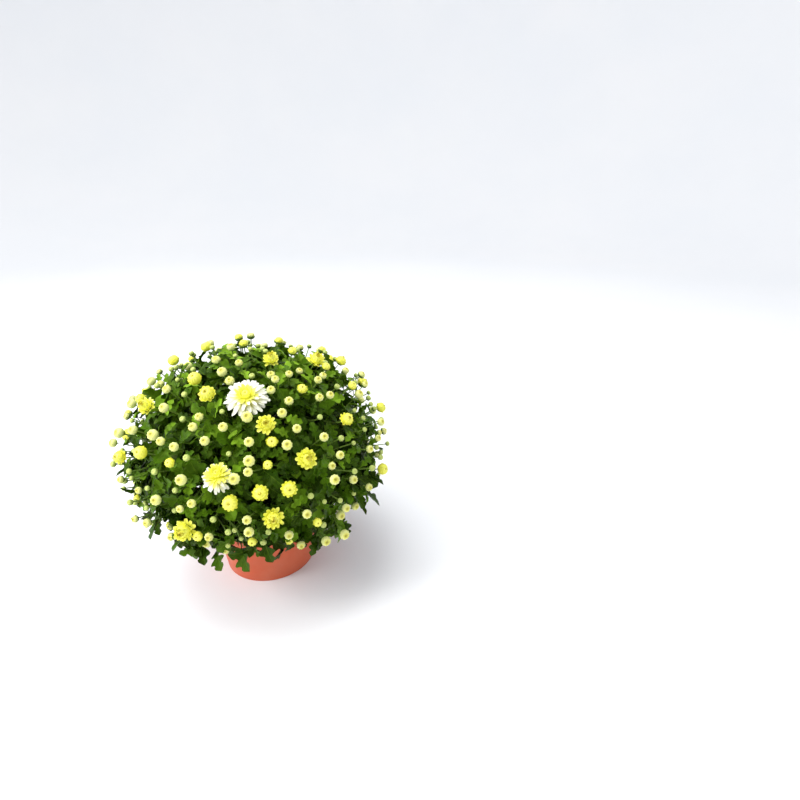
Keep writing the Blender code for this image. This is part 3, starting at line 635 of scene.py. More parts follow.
def add_leaf(heap, root, petiole_end, along, face_up, length, draw, slim=1.0):
    """Adds a leaf on its petiole. Where its blade would leave the bush or hide a head, it returns False."""
    side = along.cross(face_up)
    shape = [draw.uniform(*span) for span in LEAF_RANGES]
    grid = leaf_grid(length, *shape, slim * draw.uniform(*LEAF_SLIM))
    points = placed(sheet(grid, LEAF_THICKNESS), petiole_end, side, along, face_up)
    for i in range(0, LEAF_ROWS * LEAF_COLUMNS, 3):
        point = Vector(points[i])
        reach = LEAF_REACH if point.z > BUSH_CENTRE.z else HEM_REACH
        if not clear_of_pot(point) or leaf_share(point) > reach:
            return False
    if hides_head(points[: LEAF_ROWS * LEAF_COLUMNS], heap.spots):
        return False
    centre = Vector(points[LEAF_ROWS // 2 * LEAF_COLUMNS + LEAF_COLUMNS // 2])
    # Painted shade and light: darker deep in the bush, lighter near its outside and high up
    outer = (leaf_share(centre) - INNER_SHADE_SHARE) / (1 - INNER_SHADE_SHARE)
    high = (centre.z - SKIRT_HEIGHT) / (BUSH_CENTRE.z + BUSH_ABOVE - SKIRT_HEIGHT)
    tone = CHANCE_TONE * draw.random() + OUTER_PAINTED_LIGHT * outer + HIGH_PAINTED_LIGHT * high - TONE_SHIFT
    tone = min(max(tone, 0.0), 1.0)
    heap.add(points, LEAF_FACES, LEAF_ALONG, LEAF_ACROSS, tone)
    middle = (root + petiole_end) / 2 - face_up * PETIOLE_SAG * MM
    foot = petiole_end + along * PETIOLE_INTO_BLADE * length
    add_tube(heap, (root, middle, petiole_end, foot), PETIOLE_RADII, sides=3, tone=tone)
    return True


# Flower heads

CLOSED_BUD = (
    (0, -0.76, 0), (0.30, -0.74, 0), (0.66, -0.62, 0.02), (0.90, -0.36, 0.05), (1.0, 0.0, 0.09),
    (0.97, 0.30, 0.13), (0.84, 0.56, 0.18), (0.62, 0.71, 0.24), (0.40, 0.72, 0.3), (0.22, 0.61, 0.2),
    (0, 0.50, 0),
)
CALYX = (
    (0, -0.86, 0), (0.22, -0.86, 0), (0.60, -0.76, 0.06), (0.88, -0.50, 0.10), (1.0, -0.20, 0.16),
    (0.95, -0.10, 0.3), (0.7, -0.2, 0), (0, -0.3, 0),
)
LOOSE_CHANCE = 0.45
CREAM_MARKS = (0.34, 0.72)
PETAL_ROWS = 6
FINE_COLUMNS = 5
SMALL_COLUMNS = 3
PETAL_FACES = {columns: sheet_faces(PETAL_ROWS, columns) for columns in (FINE_COLUMNS, SMALL_COLUMNS)}
PETAL_ALONG = {columns: sheet_marks(PETAL_ROWS, columns)[0] for columns in (FINE_COLUMNS, SMALL_COLUMNS)}
PETAL_THICKNESS = 0.5 * MM
# A petal's width at its foot, what it gains further out and how soon, and what its last rows keep of it
FOOT_WIDTH_SHARE, WIDTH_GAIN, WIDENING = 0.42, 0.58, 1.25
TIP_SHARES = ((0.95,), (0.72,))
NOTCH_SHARPNESS = 6
# Between which values a petal's length, width, hollow and notch lie
PETAL_RANGES = ((0.86, 1.05), (0.9, 1.1), (0.10, 0.22), (0.02, 0.10))
# How many degrees a petal strays at its foot and tip, and what a loose head adds to its tip
FOOT_SWAY, TIP_SWAY, LOOSE_SWAY, LOOSE_DROOP = 7, 12, 14, 16
LOOSE_LENGTH = 0.14
RING_TURN = 0.4
PETAL_SHIFT = 0.12
# How deep in the heart the innermost ring is, and how late the tips of its petals go deeper
INNER_DEPTH, TIP_LATENESS = 0.7, 8
WRAPPED_SIZE = 0.84
YOUNG_TONES, RIPE_TONES = (0.0, 0.2), (0.55, 1.0)
# The cup of bracts under each kind of head, as a share of its radius
CUP_SIZES = {"green": 1.03, "bud": 0.92, "opening": 0.8, "bloom": 0.66, "daisy": 0.34}
# How loose closed balls and tufts are, and between which values the other blooms lie
BALL, TUFT, HALF_OPEN = -0.6, 0.9, (-0.5, 0.4)
DOME_SHRINK = 0.12

BLOOM_DOME = (
    (0, -0.50, 0), (0.36, -0.47, 0), (0.60, -0.30, 0.04), (0.74, 0.0, 0.08), (0.73, 0.28, 0.14),
    (0.62, 0.52, 0.2), (0.46, 0.67, 0.28), (0.29, 0.71, 0.34), (0.15, 0.65, 0.3), (0, 0.54, 0),
)
# Rings of petals, outermost first: count, foot radius, foot height, first and last angle, length, width
CUP_RINGS = (
    (12, 0.14, -0.34, -2, 38, 0.88, 0.40),
    (11, 0.13, -0.27, 18, 66, 0.92, 0.38),
    (11, 0.12, -0.18, 38, 98, 0.98, 0.34),
    (9, 0.12, -0.08, 52, 122, 1.00, 0.32),
)
OPENING_RINGS = (
    (9, 0.18, -0.52, 10, 86, 1.16, 0.54),
    (9, 0.15, -0.44, 26, 106, 1.20, 0.50),
    (8, 0.14, -0.34, 46, 128, 1.18, 0.42),
)
WRAP_RINGS = (
    (8, 0.30, -0.58, 6, 90, 1.24, 0.62),
    (8, 0.24, -0.48, 24, 114, 1.38, 0.58),
)
RAY_RINGS = (
    (18, 0.12, -0.18, 0, -16, 0.85, 0.19),
    (18, 0.11, -0.13, 6, -4, 0.82, 0.18),
    (16, 0.10, -0.08, 12, 6, 0.74, 0.175),
    (15, 0.09, -0.03, 20, 16, 0.62, 0.16),
)
HALF_RAY_RINGS = (
    (13, 0.15, -0.28, -10, -40, 1.02, 0.24),
    (11, 0.14, -0.20, 2, -16, 0.90, 0.23),
    (10, 0.12, -0.12, 18, 6, 0.82, 0.22),
)
MIDDLE_RINGS = (
    (17, 0.07, -0.03, 14, 20, 0.50, 0.14),
    (16, 0.06, -0.02, 24, 42, 0.45, 0.13),
    (14, 0.055, 0.00, 40, 72, 0.38, 0.12),
    (11, 0.05, 0.01, 54, 104, 0.33, 0.11),
)
HALF_MIDDLE_RINGS = (
    (15, 0.12, -0.10, 0, 22, 0.84, 0.25),
    (15, 0.11, -0.06, 18, 46, 0.78, 0.24),
    (13, 0.09, -0.02, 34, 74, 0.68, 0.22),
    (11, 0.07, 0.02, 50, 104, 0.58, 0.19),
)
# Of the open and the half-open bloom: rays, middle, how loose that is, and its dome's width and height
DAISY_FORMS = (
    (RAY_RINGS, MIDDLE_RINGS, 0.2, 0.30, 0.10),
    (HALF_RAY_RINGS, HALF_MIDDLE_RINGS, 0.8, 0.52, 0.06),
)


def petal_grid(columns, ring, loose, draw):
    """One petal of a ring in the head's frame, growing out along x and up along z."""
    count, foot_radius, foot_height, first, last, length, width = ring
    first = math.radians(first + draw.uniform(-FOOT_SWAY, FOOT_SWAY))
    last = math.radians(last - LOOSE_DROOP * loose + draw.uniform(-1, 1) * (TIP_SWAY + LOOSE_SWAY * loose))
    longer, wider, hollow, notch = [draw.uniform(*span) for span in PETAL_RANGES]
    length = length * longer * (1 + LOOSE_LENGTH * loose)
    width *= wider
    share = np.linspace(0, 1, PETAL_ROWS)[:, None]
    over = np.linspace(-1, 1, columns)
    angles = first + (last - first) * share
    ahead, up = np.cos(angles), np.sin(angles)
    steps = np.diff(share, axis=0, prepend=0) * length
    half = width / 2 * (FOOT_WIDTH_SHARE + WIDTH_GAIN * np.sin(np.clip(share * WIDENING, 0, 1) * math.pi / 2))
    half[-2:] *= TIP_SHARES
    cup = hollow * width * over**2
    back = -notch * length * over**2 * share**NOTCH_SHARPNESS
    x = foot_radius + np.cumsum(ahead * steps, axis=0) - cup * up + back * ahead
    z = foot_height + np.cumsum(up * steps, axis=0) + cup * ahead + back * up
    return np.stack((x, half * over, z), axis=2)


def add_petals(
    heap, head, rings, draw, size=1.0, columns=SMALL_COLUMNS, marks=(0.0, 1.0), loose=0.0, tips=0.24
):
    """Rings of petals round a head's axis, each petal a little unlike the next, most so in a loose head."""
    first, second = across(head.axis)
    radius = head.radius * size
    turn = draw.uniform(0, math.tau)
    for layer, ring in enumerate(rings):
        for i in range(ring[0]):
            points = sheet(petal_grid(columns, ring, loose, draw) * radius, PETAL_THICKNESS)
            shift = draw.uniform(-PETAL_SHIFT, PETAL_SHIFT)
            angle = turn + layer * RING_TURN + math.tau * (i + shift) / ring[0]
            out = first * math.cos(angle) + second * math.sin(angle)
            points = placed(points, head.place, out, head.axis.cross(out), head.axis)
            inner = layer / (len(rings) - 1)
            along = marks[0] + (marks[1] - marks[0]) * PETAL_ALONG[columns]
            extra = tips * PETAL_ALONG[columns] ** TIP_LATENESS if inner == 1 else 0 * along
            depth = INNER_DEPTH * inner + extra
            # The last number is the petal's random tone, which the yellow and white finishes paint as shade
            heap.add(points, PETAL_FACES[columns], along, depth, draw.random())


def add_cup(stems, head, turn=0.0):
    """The green cup of bracts under a head."""
    size = head.radius * CUP_SIZES[head.kind]
    add_knob(stems, head.place, head.axis, size, CALYX, sides=12, twist=0.0, tone=0.6, turn=turn)


def add_dome(heap, place, axis, radius, sides=26):
    """The closed petals in the heart of a head."""
    add_knob(heap, place, axis, radius, BLOOM_DOME, sides, twist=0.05, tone=0.9)


def add_bud(heap, stems, head, draw):
    """A bud in its cup of bracts: young and green, closed, or with petals that just come loose."""
    tone = draw.uniform(*(YOUNG_TONES if head.kind == "green" else RIPE_TONES))
    turn = draw.uniform(0, math.tau)
    radius = head.radius
    if head.kind == "bud" and draw.random() < LOOSE_CHANCE:
        add_petals(heap, head, WRAP_RINGS, draw, size=0.92, marks=CREAM_MARKS)
        radius *= WRAPPED_SIZE
    add_knob(heap, head.place, head.axis, radius, CLOSED_BUD, sides=20, twist=0.06, tone=tone, turn=turn)
    add_cup(stems, head, turn)


# Stems

UPPER_STEPS = 4
UPPER_STEP_SHARE = 0.05
# Radii of stems and shoots at their feet, and what they lose to their tips, in millimetres
STEM_RADIUS, STEM_TAPER = 2.0, 0.7
SHOOT_RADIUS, SHOOT_TAPER = 1.2, 0.6
# Where shoots leave the stem, how they lean at both ends, and how deep they go into their heads
SHOOT_START = (0.40, 0.50)
SHOOT_LEAN = (0.35, 0.4)
SEAT_DEPTH = 0.7
SHOOT_STEPS = 8
SHOOT_SPAN = (0.34, 0.90)
SHOOT_LEAVES = 5
GREEN_LEAVES = 3
LEAF_SIZES = mm(31, 14)
TWIG_LEAVES = 5
TWIG_SIZES = mm(30, 24)
OLD_SPAN = (0.6, 1.0)
OLD_LEAVES = 6
OLD_SIZES = mm(34, 32)
OUTLYING_SHARE = 1.06
OUTLYING_SPAN = (0.5, 0.84)
OUTLYING_LEAVES = 5
# Twigs of the hem
HEM_TWIGS = 7
HEM_CONES_BELOW = 0.35
HEM_START = (0.42, 0.58)
HEM_POLAR = (math.radians(96), math.radians(128))
HEM_STRAY = (-0.5, 0.5)
HEM_NEAREST, HEM_END = 0.5, 0.84
HEM_ROOM = 14 * MM
HEM_LEAN = (0.45, 0.25)
HEM_SPAN = (0.35, 1.0)
# How leaves stand on a stem, and how they turn and shrink at each new attempt
LEAF_PLACE = (0.1, 0.9)
LEAF_RISE = (0.15, 0.85)
LEAF_ATTEMPTS = 6
ATTEMPT_TURN = 1.3
ATTEMPT_SHRINK = 0.92
SIZE_FALL = 1.6
SIZE_STRAY = (0.85, 1.15)
SMALL_LEAF = 20 * MM
SMALL_LEAF_SLIM = 0.8
FACE_OUT, FACE_UP = 0.8, 0.45
PETIOLE_OUT, PETIOLE_AHEAD, PETIOLE_SHARE = 0.8, 0.6, 0.3


def foot_of(cone):
    """The lower end of a stem, in its hole in the soil."""
    from_axis = FOOT_CIRCLE * math.sqrt((cone.number + 0.5) / STEM_COUNT)
    azimuth = math.atan2(cone.axis.y, cone.axis.x)
    bottom = SOIL_TOP - HOLE_DEPTH + GAP
    return Vector((from_axis * math.cos(azimuth), from_axis * math.sin(azimuth), bottom))


def stem_path(cone):
    foot = foot_of(cone)
    soil_line = foot + UP * (HOLE_DEPTH + SOIL_CROWN)
    knee = cone.along(KNEE_SHARE)
    lean = PATH_LEAN * (knee - soil_line).length
    path = [foot]
    path += bezier(soil_line, soil_line + UP * lean, knee - cone.axis * lean, knee, steps=10)
    path += [cone.along(KNEE_SHARE + UPPER_STEP_SHARE * i) for i in range(1, UPPER_STEPS + 1)]
    return path


def add_shoot(stems, leaves, head, draw):
    """A side shoot from the stem to one head, with leaves in a spiral along it."""
    start = head.cone.along(draw.uniform(*SHOOT_START))
    seat = head.place - head.axis * SEAT_DEPTH * head.radius
    reach = (seat - start).length
    ahead = head.cone.axis * SHOOT_LEAN[0] * reach
    path = bezier(start, start + ahead, seat - head.axis * SHOOT_LEAN[1] * reach, seat, SHOOT_STEPS)
    count = GREEN_LEAVES if head.kind == "green" else SHOOT_LEAVES
    add_leafy_path(stems, leaves, path, SHOOT_SPAN, count, LEAF_SIZES, draw)
    if shell_share(head.place) > OUTLYING_SHARE:
        add_leaves(leaves, path, OUTLYING_SPAN, OUTLYING_LEAVES, TWIG_SIZES, draw)


def add_hem_twig(stems, leaves, cone, draw):
    """A twig without a head that hangs out under the waist of the bush, to close its hem with leaves."""
    start = cone.along(draw.uniform(*HEM_START))
    azimuth = math.atan2(cone.axis.y, cone.axis.x) + draw.uniform(*HEM_STRAY)
    direction = polar(draw.uniform(*HEM_POLAR), azimuth)
    end = BUSH_CENTRE + direction * HEM_NEAREST * BUSH_SIDE
    while leaf_share(end) < HEM_END and end.z > SKIRT_HEIGHT + HEM_ROOM:
        end += direction * MM
    reach = (end - start).length
    ahead, above = cone.axis * HEM_LEAN[0] * reach, UP * HEM_LEAN[1] * reach
    path = bezier(start, start + ahead, end + above, end, SHOOT_STEPS)
    add_leafy_path(stems, leaves, path, HEM_SPAN, TWIG_LEAVES, TWIG_SIZES, draw)


def add_leafy_path(stems, leaves, path, span, count, sizes, draw):
    """A shoot along a path, and its leaves in a golden-angle spiral over a span of it."""
    radii = [(SHOOT_RADIUS - SHOOT_TAPER * i / SHOOT_STEPS) * MM for i in range(SHOOT_STEPS + 1)]
    add_tube(stems, path, radii, sides=6, tone=0.7 + 0.3 * draw.random())
    add_leaves(leaves, path, span, count, sizes, draw)


def add_leaves(leaves, path, span, count, sizes, draw):
    turn = draw.uniform(0, math.tau)
    for i in range(count):
        share = span[0] + (span[1] - span[0]) * (i + draw.uniform(*LEAF_PLACE)) / count
        steps = len(path) - 1
        at = min(int(share * steps), steps - 1)
        root = path[at].lerp(path[at + 1], share * steps - at)
        ahead = (path[at + 1] - path[at]).normalized()
        outward = (root - BUSH_CENTRE).normalized()
        first, second = across(ahead)
        reached = (share - span[0]) / (span[1] - span[0])
        size = sizes[0] + (sizes[1] - sizes[0]) * reached**SIZE_FALL
        size *= draw.uniform(*SIZE_STRAY)
        slim = 1.0 if size > SMALL_LEAF else SMALL_LEAF_SLIM
        for attempt in range(LEAF_ATTEMPTS):
            angle = turn + i * GOLDEN_ANGLE + attempt * ATTEMPT_TURN
            out = first * math.cos(angle) + second * math.sin(angle)
            rise = draw.uniform(*LEAF_RISE)
            along = (out * math.cos(rise) + ahead * math.sin(rise)).normalized()
            tilt = Vector([draw.uniform(-LEAF_TILT, LEAF_TILT) for axis in range(3)])
            up = outward * FACE_OUT + UP * FACE_UP + tilt
            face_up = (up - along * up.dot(along)).normalized()
            stalk = (out * PETIOLE_OUT + ahead * PETIOLE_AHEAD).normalized() * PETIOLE_SHARE * size
            if add_leaf(leaves, root, root + stalk, along, face_up, size, draw, slim):
                break
            size *= ATTEMPT_SHRINK


# Pot and soil


def wall_radius(height):
    top = POT_RIM_RADIUS - BAND_PROUD
    return POT_BASE_RADIUS + (top - POT_BASE_RADIUS) * height / POT_HEIGHT


def turned(name, profile, steps):
    """A solid turned by a Screw modifier from (radius, height) points that end on the axis."""
    mesh = bpy.data.meshes.new(name)
    points = [(radius, 0, height) for radius, height in profile]
    mesh.from_pydata(points, [(i, i + 1) for i in range(len(points) - 1)], [])
    made = linked(name, mesh)
    screw = made.modifiers.new("turn", "SCREW")
    screw.steps = screw.render_steps = steps
    screw.use_merge_vertices = True
    screw.merge_threshold = MERGE
    return made


def applied(made):
    """The mesh of an object with its modifiers applied, and the object gone."""
    bpy.context.view_layer.update()
    graph = bpy.context.evaluated_depsgraph_get()
    mesh = bpy.data.meshes.new_from_object(made.evaluated_get(graph))
    bpy.data.objects.remove(made, do_unlink=True)
    return mesh


def rounded(corner, before, after, radius, steps=4):
    """Points of a small arc in place of a profile's corner."""
    corner, before, after = (Vector((*point, 0)) for point in (corner, before, after))
    start = corner + (before - corner).normalized() * radius
    end = corner + (after - corner).normalized() * radius
    points = bezier(start, start.lerp(corner, CORNER_PULL), end.lerp(corner, CORNER_PULL), end, steps)
    return [(point.x, point.y) for point in points]


def make_pot(material):
    band_foot = POT_HEIGHT - BAND_HEIGHT
    foot_inner = POT_BASE_RADIUS - FOOT_WIDTH
    corners = (
        (0, POT_FLOOR),
        (wall_radius(POT_FLOOR) - POT_WALL, POT_FLOOR),
        (wall_radius(POT_HEIGHT) - POT_WALL, POT_HEIGHT),
        (POT_RIM_RADIUS, POT_HEIGHT),
        (POT_RIM_RADIUS - BAND_PROUD / 3, band_foot),
        (wall_radius(band_foot), band_foot),
        (POT_BASE_RADIUS, 0),
        (foot_inner, 0),
        (foot_inner - FOOT_LIFT, FOOT_LIFT),
        (PAD_RADIUS + FOOT_LIFT, FOOT_LIFT),
        (PAD_RADIUS, 0),
        (0, 0),
    )
    profile = [corners[0]]
    for before, corner, after in zip(corners, corners[1:], corners[2:]):
        profile += rounded(corner, before, after, CORNER_RADIUS)
    profile.append(corners[-1])
    pot = turned("pot_form", profile, steps=144)
    middle = (foot_inner + PAD_RADIUS) / 2
    for i in range(DRAIN_COUNT):
        place = polar(math.pi / 2, math.tau * i / DRAIN_COUNT) * middle
        bm = bmesh.new()
        bmesh.ops.create_cone(
            bm, cap_ends=True, segments=24, radius1=DRAIN_RADIUS, radius2=DRAIN_RADIUS,
            depth=4 * POT_FLOOR, matrix=Matrix.Translation(place),
        )
        drill = bpy.data.meshes.new("drain")
        bm.to_mesh(drill)
        bm.free()
        cutter = linked("drain", drill)
        boolean = pot.modifiers.new("drain", "BOOLEAN")
        boolean.operation = "DIFFERENCE"
        boolean.solver = "EXACT"
        boolean.object = cutter
    mesh = applied(pot)
    for cutter in [each for each in bpy.data.objects if each.name.startswith("drain")]:
        bpy.data.objects.remove(cutter, do_unlink=True)
    finished("pot_shell", mesh, material, "terracotta_plastic", "pot")


def make_soil(material):
    """The soil: a crumbly crowned top over plain sides."""
    bottom = POT_FLOOR + GAP
    inner = -POT_WALL - GAP
    edge = wall_radius(SOIL_TOP) + inner
    profile = []
    for i in range(SOIL_RINGS + 1):
        from_axis = edge * i / SOIL_RINGS
        profile.append((from_axis, SOIL_TOP + SOIL_CROWN * (1 - (from_axis / POT_RIM_RADIUS) ** 2)))
    profile += [(wall_radius(bottom) + inner, bottom), (0, bottom)]
    mesh = applied(turned("soil_form", profile, steps=110))
    for vertex in mesh.vertices:
        from_axis = math.hypot(vertex.co.x, vertex.co.y)
        if vertex.co.z > SOIL_TOP - 1 * MM and from_axis < edge - SMOOTH_EDGE:
            rough = noise.fractal(vertex.co * CRUMB_SCALE, *CRUMB_NOISE)
            lumps = noise.noise(vertex.co * LUMP_SCALE)
            vertex.co.z += (CRUMB_HEIGHT * rough + LUMP_HEIGHT * lumps - CRUMB_SINK) * MM
    finished("soil_crumb", mesh, material, "peat", "soil")


# Materials


class Finish:
    """A node material under construction."""

    def __init__(self, name, roughness, **sockets):
        self.material = bpy.data.materials.new(name)
        self.material.use_nodes = True
        self.nodes = self.material.node_tree.nodes
        self.links = self.material.node_tree.links
        self.shader = self.nodes["Principled BSDF"]
        self.shader.inputs["Roughness"].default_value = roughness
        for socket, value in sockets.items():
            self.shader.inputs[socket.replace("_", " ")].default_value = value

    def node(self, kind, **settings):
        made = self.nodes.new(kind)
        for key, value in settings.items():
            setattr(made, key, value)
        return made

    def feed(self, socket, source):
        """Gives a socket a number or a colour, or links it to another node."""
        if isinstance(source, bpy.types.NodeSocket):
            self.links.new(source, socket)
        else:
            socket.default_value = (*source, 1) if isinstance(source, tuple) else source

    def mark(self, name):
        """A number that every point of the mesh carries."""
        return self.node("ShaderNodeAttribute", attribute_name=name).outputs["Fac"]

    def math(self, operation, first, second=0.0):
        made = self.node("ShaderNodeMath", operation=operation)
        self.feed(made.inputs[0], first)
        self.feed(made.inputs[1], second)
        return made.outputs[0]

    def texture(self, kind, output, **values):
        """A texture in the object's own space."""
        made = self.node(kind)
        self.feed(made.inputs["Vector"], self.node("ShaderNodeTexCoord").outputs["Object"])
        for socket, value in values.items():
            made.inputs[socket].default_value = value
        return made.outputs[output]

    def noise(self, scale, detail=3.0, roughness=0.55):
        return self.texture("ShaderNodeTexNoise", "Fac", Scale=scale, Detail=detail, Roughness=roughness)

    def ramp(self, source, *stops):
        """Colours at positions along a number."""
        made = self.node("ShaderNodeValToRGB")
        self.feed(made.inputs["Fac"], source)
        elements = made.color_ramp.elements
        while len(elements) < len(stops):
            elements.new(0.5)
        for element, (position, colour) in zip(elements, stops):
            element.position = position
            element.color = (*colour, 1)
        return made.outputs["Color"]

    def mix(self, share, first, second, blend="MIX"):
        made = self.node("ShaderNodeMix", data_type="RGBA", blend_type=blend)
        self.feed(made.inputs["Factor"], share)
        for socket, colour in (("A", first), ("B", second)):
            self.feed(next(i for i in made.inputs if i.name == socket and i.type == "RGBA"), colour)
        return next(o for o in made.outputs if o.type == "RGBA")

    def deepen(self, colour, source, *stops):
        """A colour times the colours of a ramp."""
        return self.mix(1.0, colour, self.ramp(source, *stops), "MULTIPLY")

    def fleck(self, colour, share, second, *grain):
        """A colour with a share of another, by noise of that grain."""
        return self.mix(self.math("MULTIPLY", self.noise(*grain), share), colour, second)

    def soften(self, weight, *depths):
        """Lets light through the surface, by red, green and blue depths in millimetres."""
        self.shader.inputs["Subsurface Weight"].default_value = weight
        self.shader.inputs["Subsurface Radius"].default_value = mm(*depths)

    def paint(self, colour):
        self.links.new(colour, self.shader.inputs["Base Color"])

    def bump(self, height, strength, distance):
        made = self.node("ShaderNodeBump")
        made.inputs["Strength"].default_value = strength
        made.inputs["Distance"].default_value = distance
        self.links.new(height, made.inputs["Height"])
        self.links.new(made.outputs["Normal"], self.shader.inputs["Normal"])


def leaf_finish():
    """Leaf green: each leaf its own tone, partly at random and partly painted shade and light by its place in
    the bush, with a pale rib and side veins.
    """
    f = Finish("leaf_living", 0.45, Specular_IOR_Level=0.25, Specular_Tint=(0.75, 1.0, 0.15, 1))
    along, over, tone = f.mark("along"), f.mark("across"), f.mark("tone")
    # The dark stops carry the painted shade of leaves deep in the bush, the light ones the painted light high
    # up and outside
    base = f.ramp(tone, (0.14, (0.003, 0.011, 0.001)), (0.4, (0.018, 0.054, 0.002)),
                  (0.7, (0.066, 0.150, 0.004)), (0.98, (0.20, 0.36, 0.018)))
    colour = f.deepen(base, f.noise(70, 3), (0.3, (0.62, 0.62, 0.62)), (0.7, (1.25, 1.25, 1.2)))
    away = f.math("ABSOLUTE", over)
    rib = f.math("SUBTRACT", 1.0, f.math("MULTIPLY", away, 9.0))
    slant = f.math("SUBTRACT", f.math("MULTIPLY", along, 6.5), f.math("MULTIPLY", away, 1.6))
    wave = f.math("ABSOLUTE", f.math("SUBTRACT", f.math("FRACT", slant), 0.5))
    side_vein = f.math("MULTIPLY", f.math("SUBTRACT", f.math("MULTIPLY", wave, 2.0), 0.86), 6.0)
    veins = f.math("MINIMUM", f.math("MAXIMUM", f.math("MAXIMUM", rib, side_vein), 0.0), 1.0)
    f.paint(f.mix(f.math("MULTIPLY", veins, 0.35), colour, (0.15, 0.26, 0.02)))
    f.bump(f.math("SUBTRACT", f.noise(420, 2), f.math("MULTIPLY", veins, 0.8)), 0.35, 0.4 * MM)
    f.soften(0.08, 0.4, 1.2, 0.2)
    return f.material


def stem_finish():
    f = Finish("stem_living", 0.5, Specular_IOR_Level=0.3)
    tone = f.mark("tone")
    colour = f.ramp(tone, (0.0, (0.035, 0.085, 0.008)), (0.6, (0.08, 0.16, 0.018)), (1.0, (0.24, 0.38, 0.06)))
    f.paint(f.fleck(colour, 0.4, (0.07, 0.07, 0.012), 260))
    f.bump(f.noise(900, 2), 0.3, 0.2 * MM)
    return f.material


def bud_finish():
    """Green at the cup, cream round the side and ochre in the dimple. The tone says how ripe it is."""
    f = Finish("bud_petals", 0.5)
    along, tone = f.mark("along"), f.mark("tone")
    ripe = f.ramp(along, (0.0, (0.22, 0.38, 0.04)), (0.26, (0.50, 0.60, 0.10)), (0.42, (0.82, 0.85, 0.34)),
                  (0.62, (0.84, 0.84, 0.30)), (0.76, (0.70, 0.67, 0.09)), (0.95, (0.40, 0.34, 0.02)))
    young = f.ramp(along, (0.0, (0.16, 0.28, 0.04)), (0.6, (0.42, 0.52, 0.12)), (1.0, (0.55, 0.58, 0.16)))
    age = f.ramp(tone, (0.2, (0, 0, 0)), (0.55, (1, 1, 1)))
    colour = f.mix(age, young, ripe)
    f.paint(f.fleck(colour, 0.25, (0.70, 0.74, 0.20), 500, 2))
    f.bump(f.noise(700, 2), 0.25, 0.25 * MM)
    f.soften(0.15, 1.5, 1.3, 0.5)
    return f.material


def yellow_finish():
    """Lemon yellow petals, deeper towards the heart, which is ochre."""
    f = Finish("petals_lemon", 0.46)
    along, depth, tone = f.mark("along"), f.mark("across"), f.mark("tone")
    blade = f.ramp(along, (0.0, (0.80, 0.77, 0.04)), (0.35, (0.93, 0.91, 0.07)), (1.0, (0.95, 0.96, 0.19)))
    colour = f.deepen(blade, depth, (0.71, (1, 1, 1)), (0.87, (0.60, 0.49, 0.12)))
    # Painted shade: each petal a little darker at random, by its tone
    f.paint(f.deepen(colour, tone, (0.0, (0.94, 0.93, 0.88)), (1.0, (1.0, 1.0, 1.0))))
    f.bump(f.noise(800, 2), 0.2, 0.2 * MM)
    f.soften(0.15, 1.5, 1.3, 0.4)
    return f.material


def white_finish():
    """White rays with a breath of cream at their feet."""
    f = Finish("petals_ivory", 0.5)
    along, tone = f.mark("along"), f.mark("tone")
    blade = f.ramp(along, (0.2, (0.87, 0.82, 0.12)), (0.5, (0.90, 0.88, 0.42)), (0.76, (0.90, 0.90, 0.78)))
    # Painted shade: each petal a little darker at random, by its tone
    f.paint(f.deepen(blade, tone, (0.0, (0.92, 0.92, 0.9)), (1.0, (1.0, 1.0, 1.0))))
    f.bump(f.noise(700, 2), 0.2, 0.2 * MM)
    f.soften(0.15, 1.2, 1.2, 1.0)
    return f.material


def pot_finish():
    """Moulded terracotta-coloured plastic, satin, with faint mottling and rubbed spots."""
    f = Finish("terracotta_moulded", 0.42, Specular_IOR_Level=0.3)
    mottle = f.ramp(f.noise(26, 4), (0.3, (0.55, 0.096, 0.036)), (0.7, (0.63, 0.122, 0.048)))
    dust = f.ramp(f.noise(9, 5, 0.7), (0.52, (0, 0, 0)), (0.8, (0.22, 0.22, 0.22)))
    f.paint(f.mix(dust, mottle, (0.60, 0.30, 0.20)))
    rough = f.node("ShaderNodeMapRange")
    f.links.new(f.noise(60, 4), rough.inputs["Value"])
    rough.inputs["To Min"].default_value = 0.36
    rough.inputs["To Max"].default_value = 0.52
    f.links.new(rough.outputs["Result"], f.shader.inputs["Roughness"])
    f.bump(f.noise(1500, 2), 0.12, 0.15 * MM)
    return f.material


def soil_finish():
    """Dark moist peat with a few pale grains."""
    f = Finish("peat_crumb", 0.92)
    crumbs = f.ramp(f.noise(260, 6, 0.7), (0.3, (0.010, 0.006, 0.004)), (0.7, (0.075, 0.045, 0.026)))
    grains = f.texture("ShaderNodeTexVoronoi", "Distance", Scale=170)
    speck = f.ramp(grains, (0.10, (1, 1, 1)), (0.16, (0, 0, 0)))
    f.paint(f.mix(f.math("MULTIPLY", speck, 0.5), crumbs, (0.42, 0.36, 0.28)))
    f.bump(f.noise(600, 5, 0.7), 0.8, 1.0 * MM)
    return f.material


# The plant


def make_plant():
    leaf, stem, bud = leaf_finish(), stem_finish(), bud_finish()
    yellow, white = yellow_finish(), white_finish()
    all_cones = cones()
    blooms = named_blooms()
    blooms += back_blooms(blooms)
    for bloom in blooms:
        bloom.settle(all_cones, BLOOM_ELBOW_ROOM)
    small = frame_buds(blooms)
    for head in small:
        head.settle(all_cones, BUD_ELBOW_ROOM)
        head.radius *= BUD_SHRINK
    small += photo_buds(blooms + small)
    small += fill_buds(blooms + small)
    for head in small:
        if head.cone is None:
            head.settle(all_cones)
    spots = open_spots(blooms + small)
    for cone in all_cones:
        make_leafy_stem(cone, blooms, small, spots, (leaf, stem, bud, yellow))
    for bloom in blooms:
        make_bloom(bloom, yellow, white)


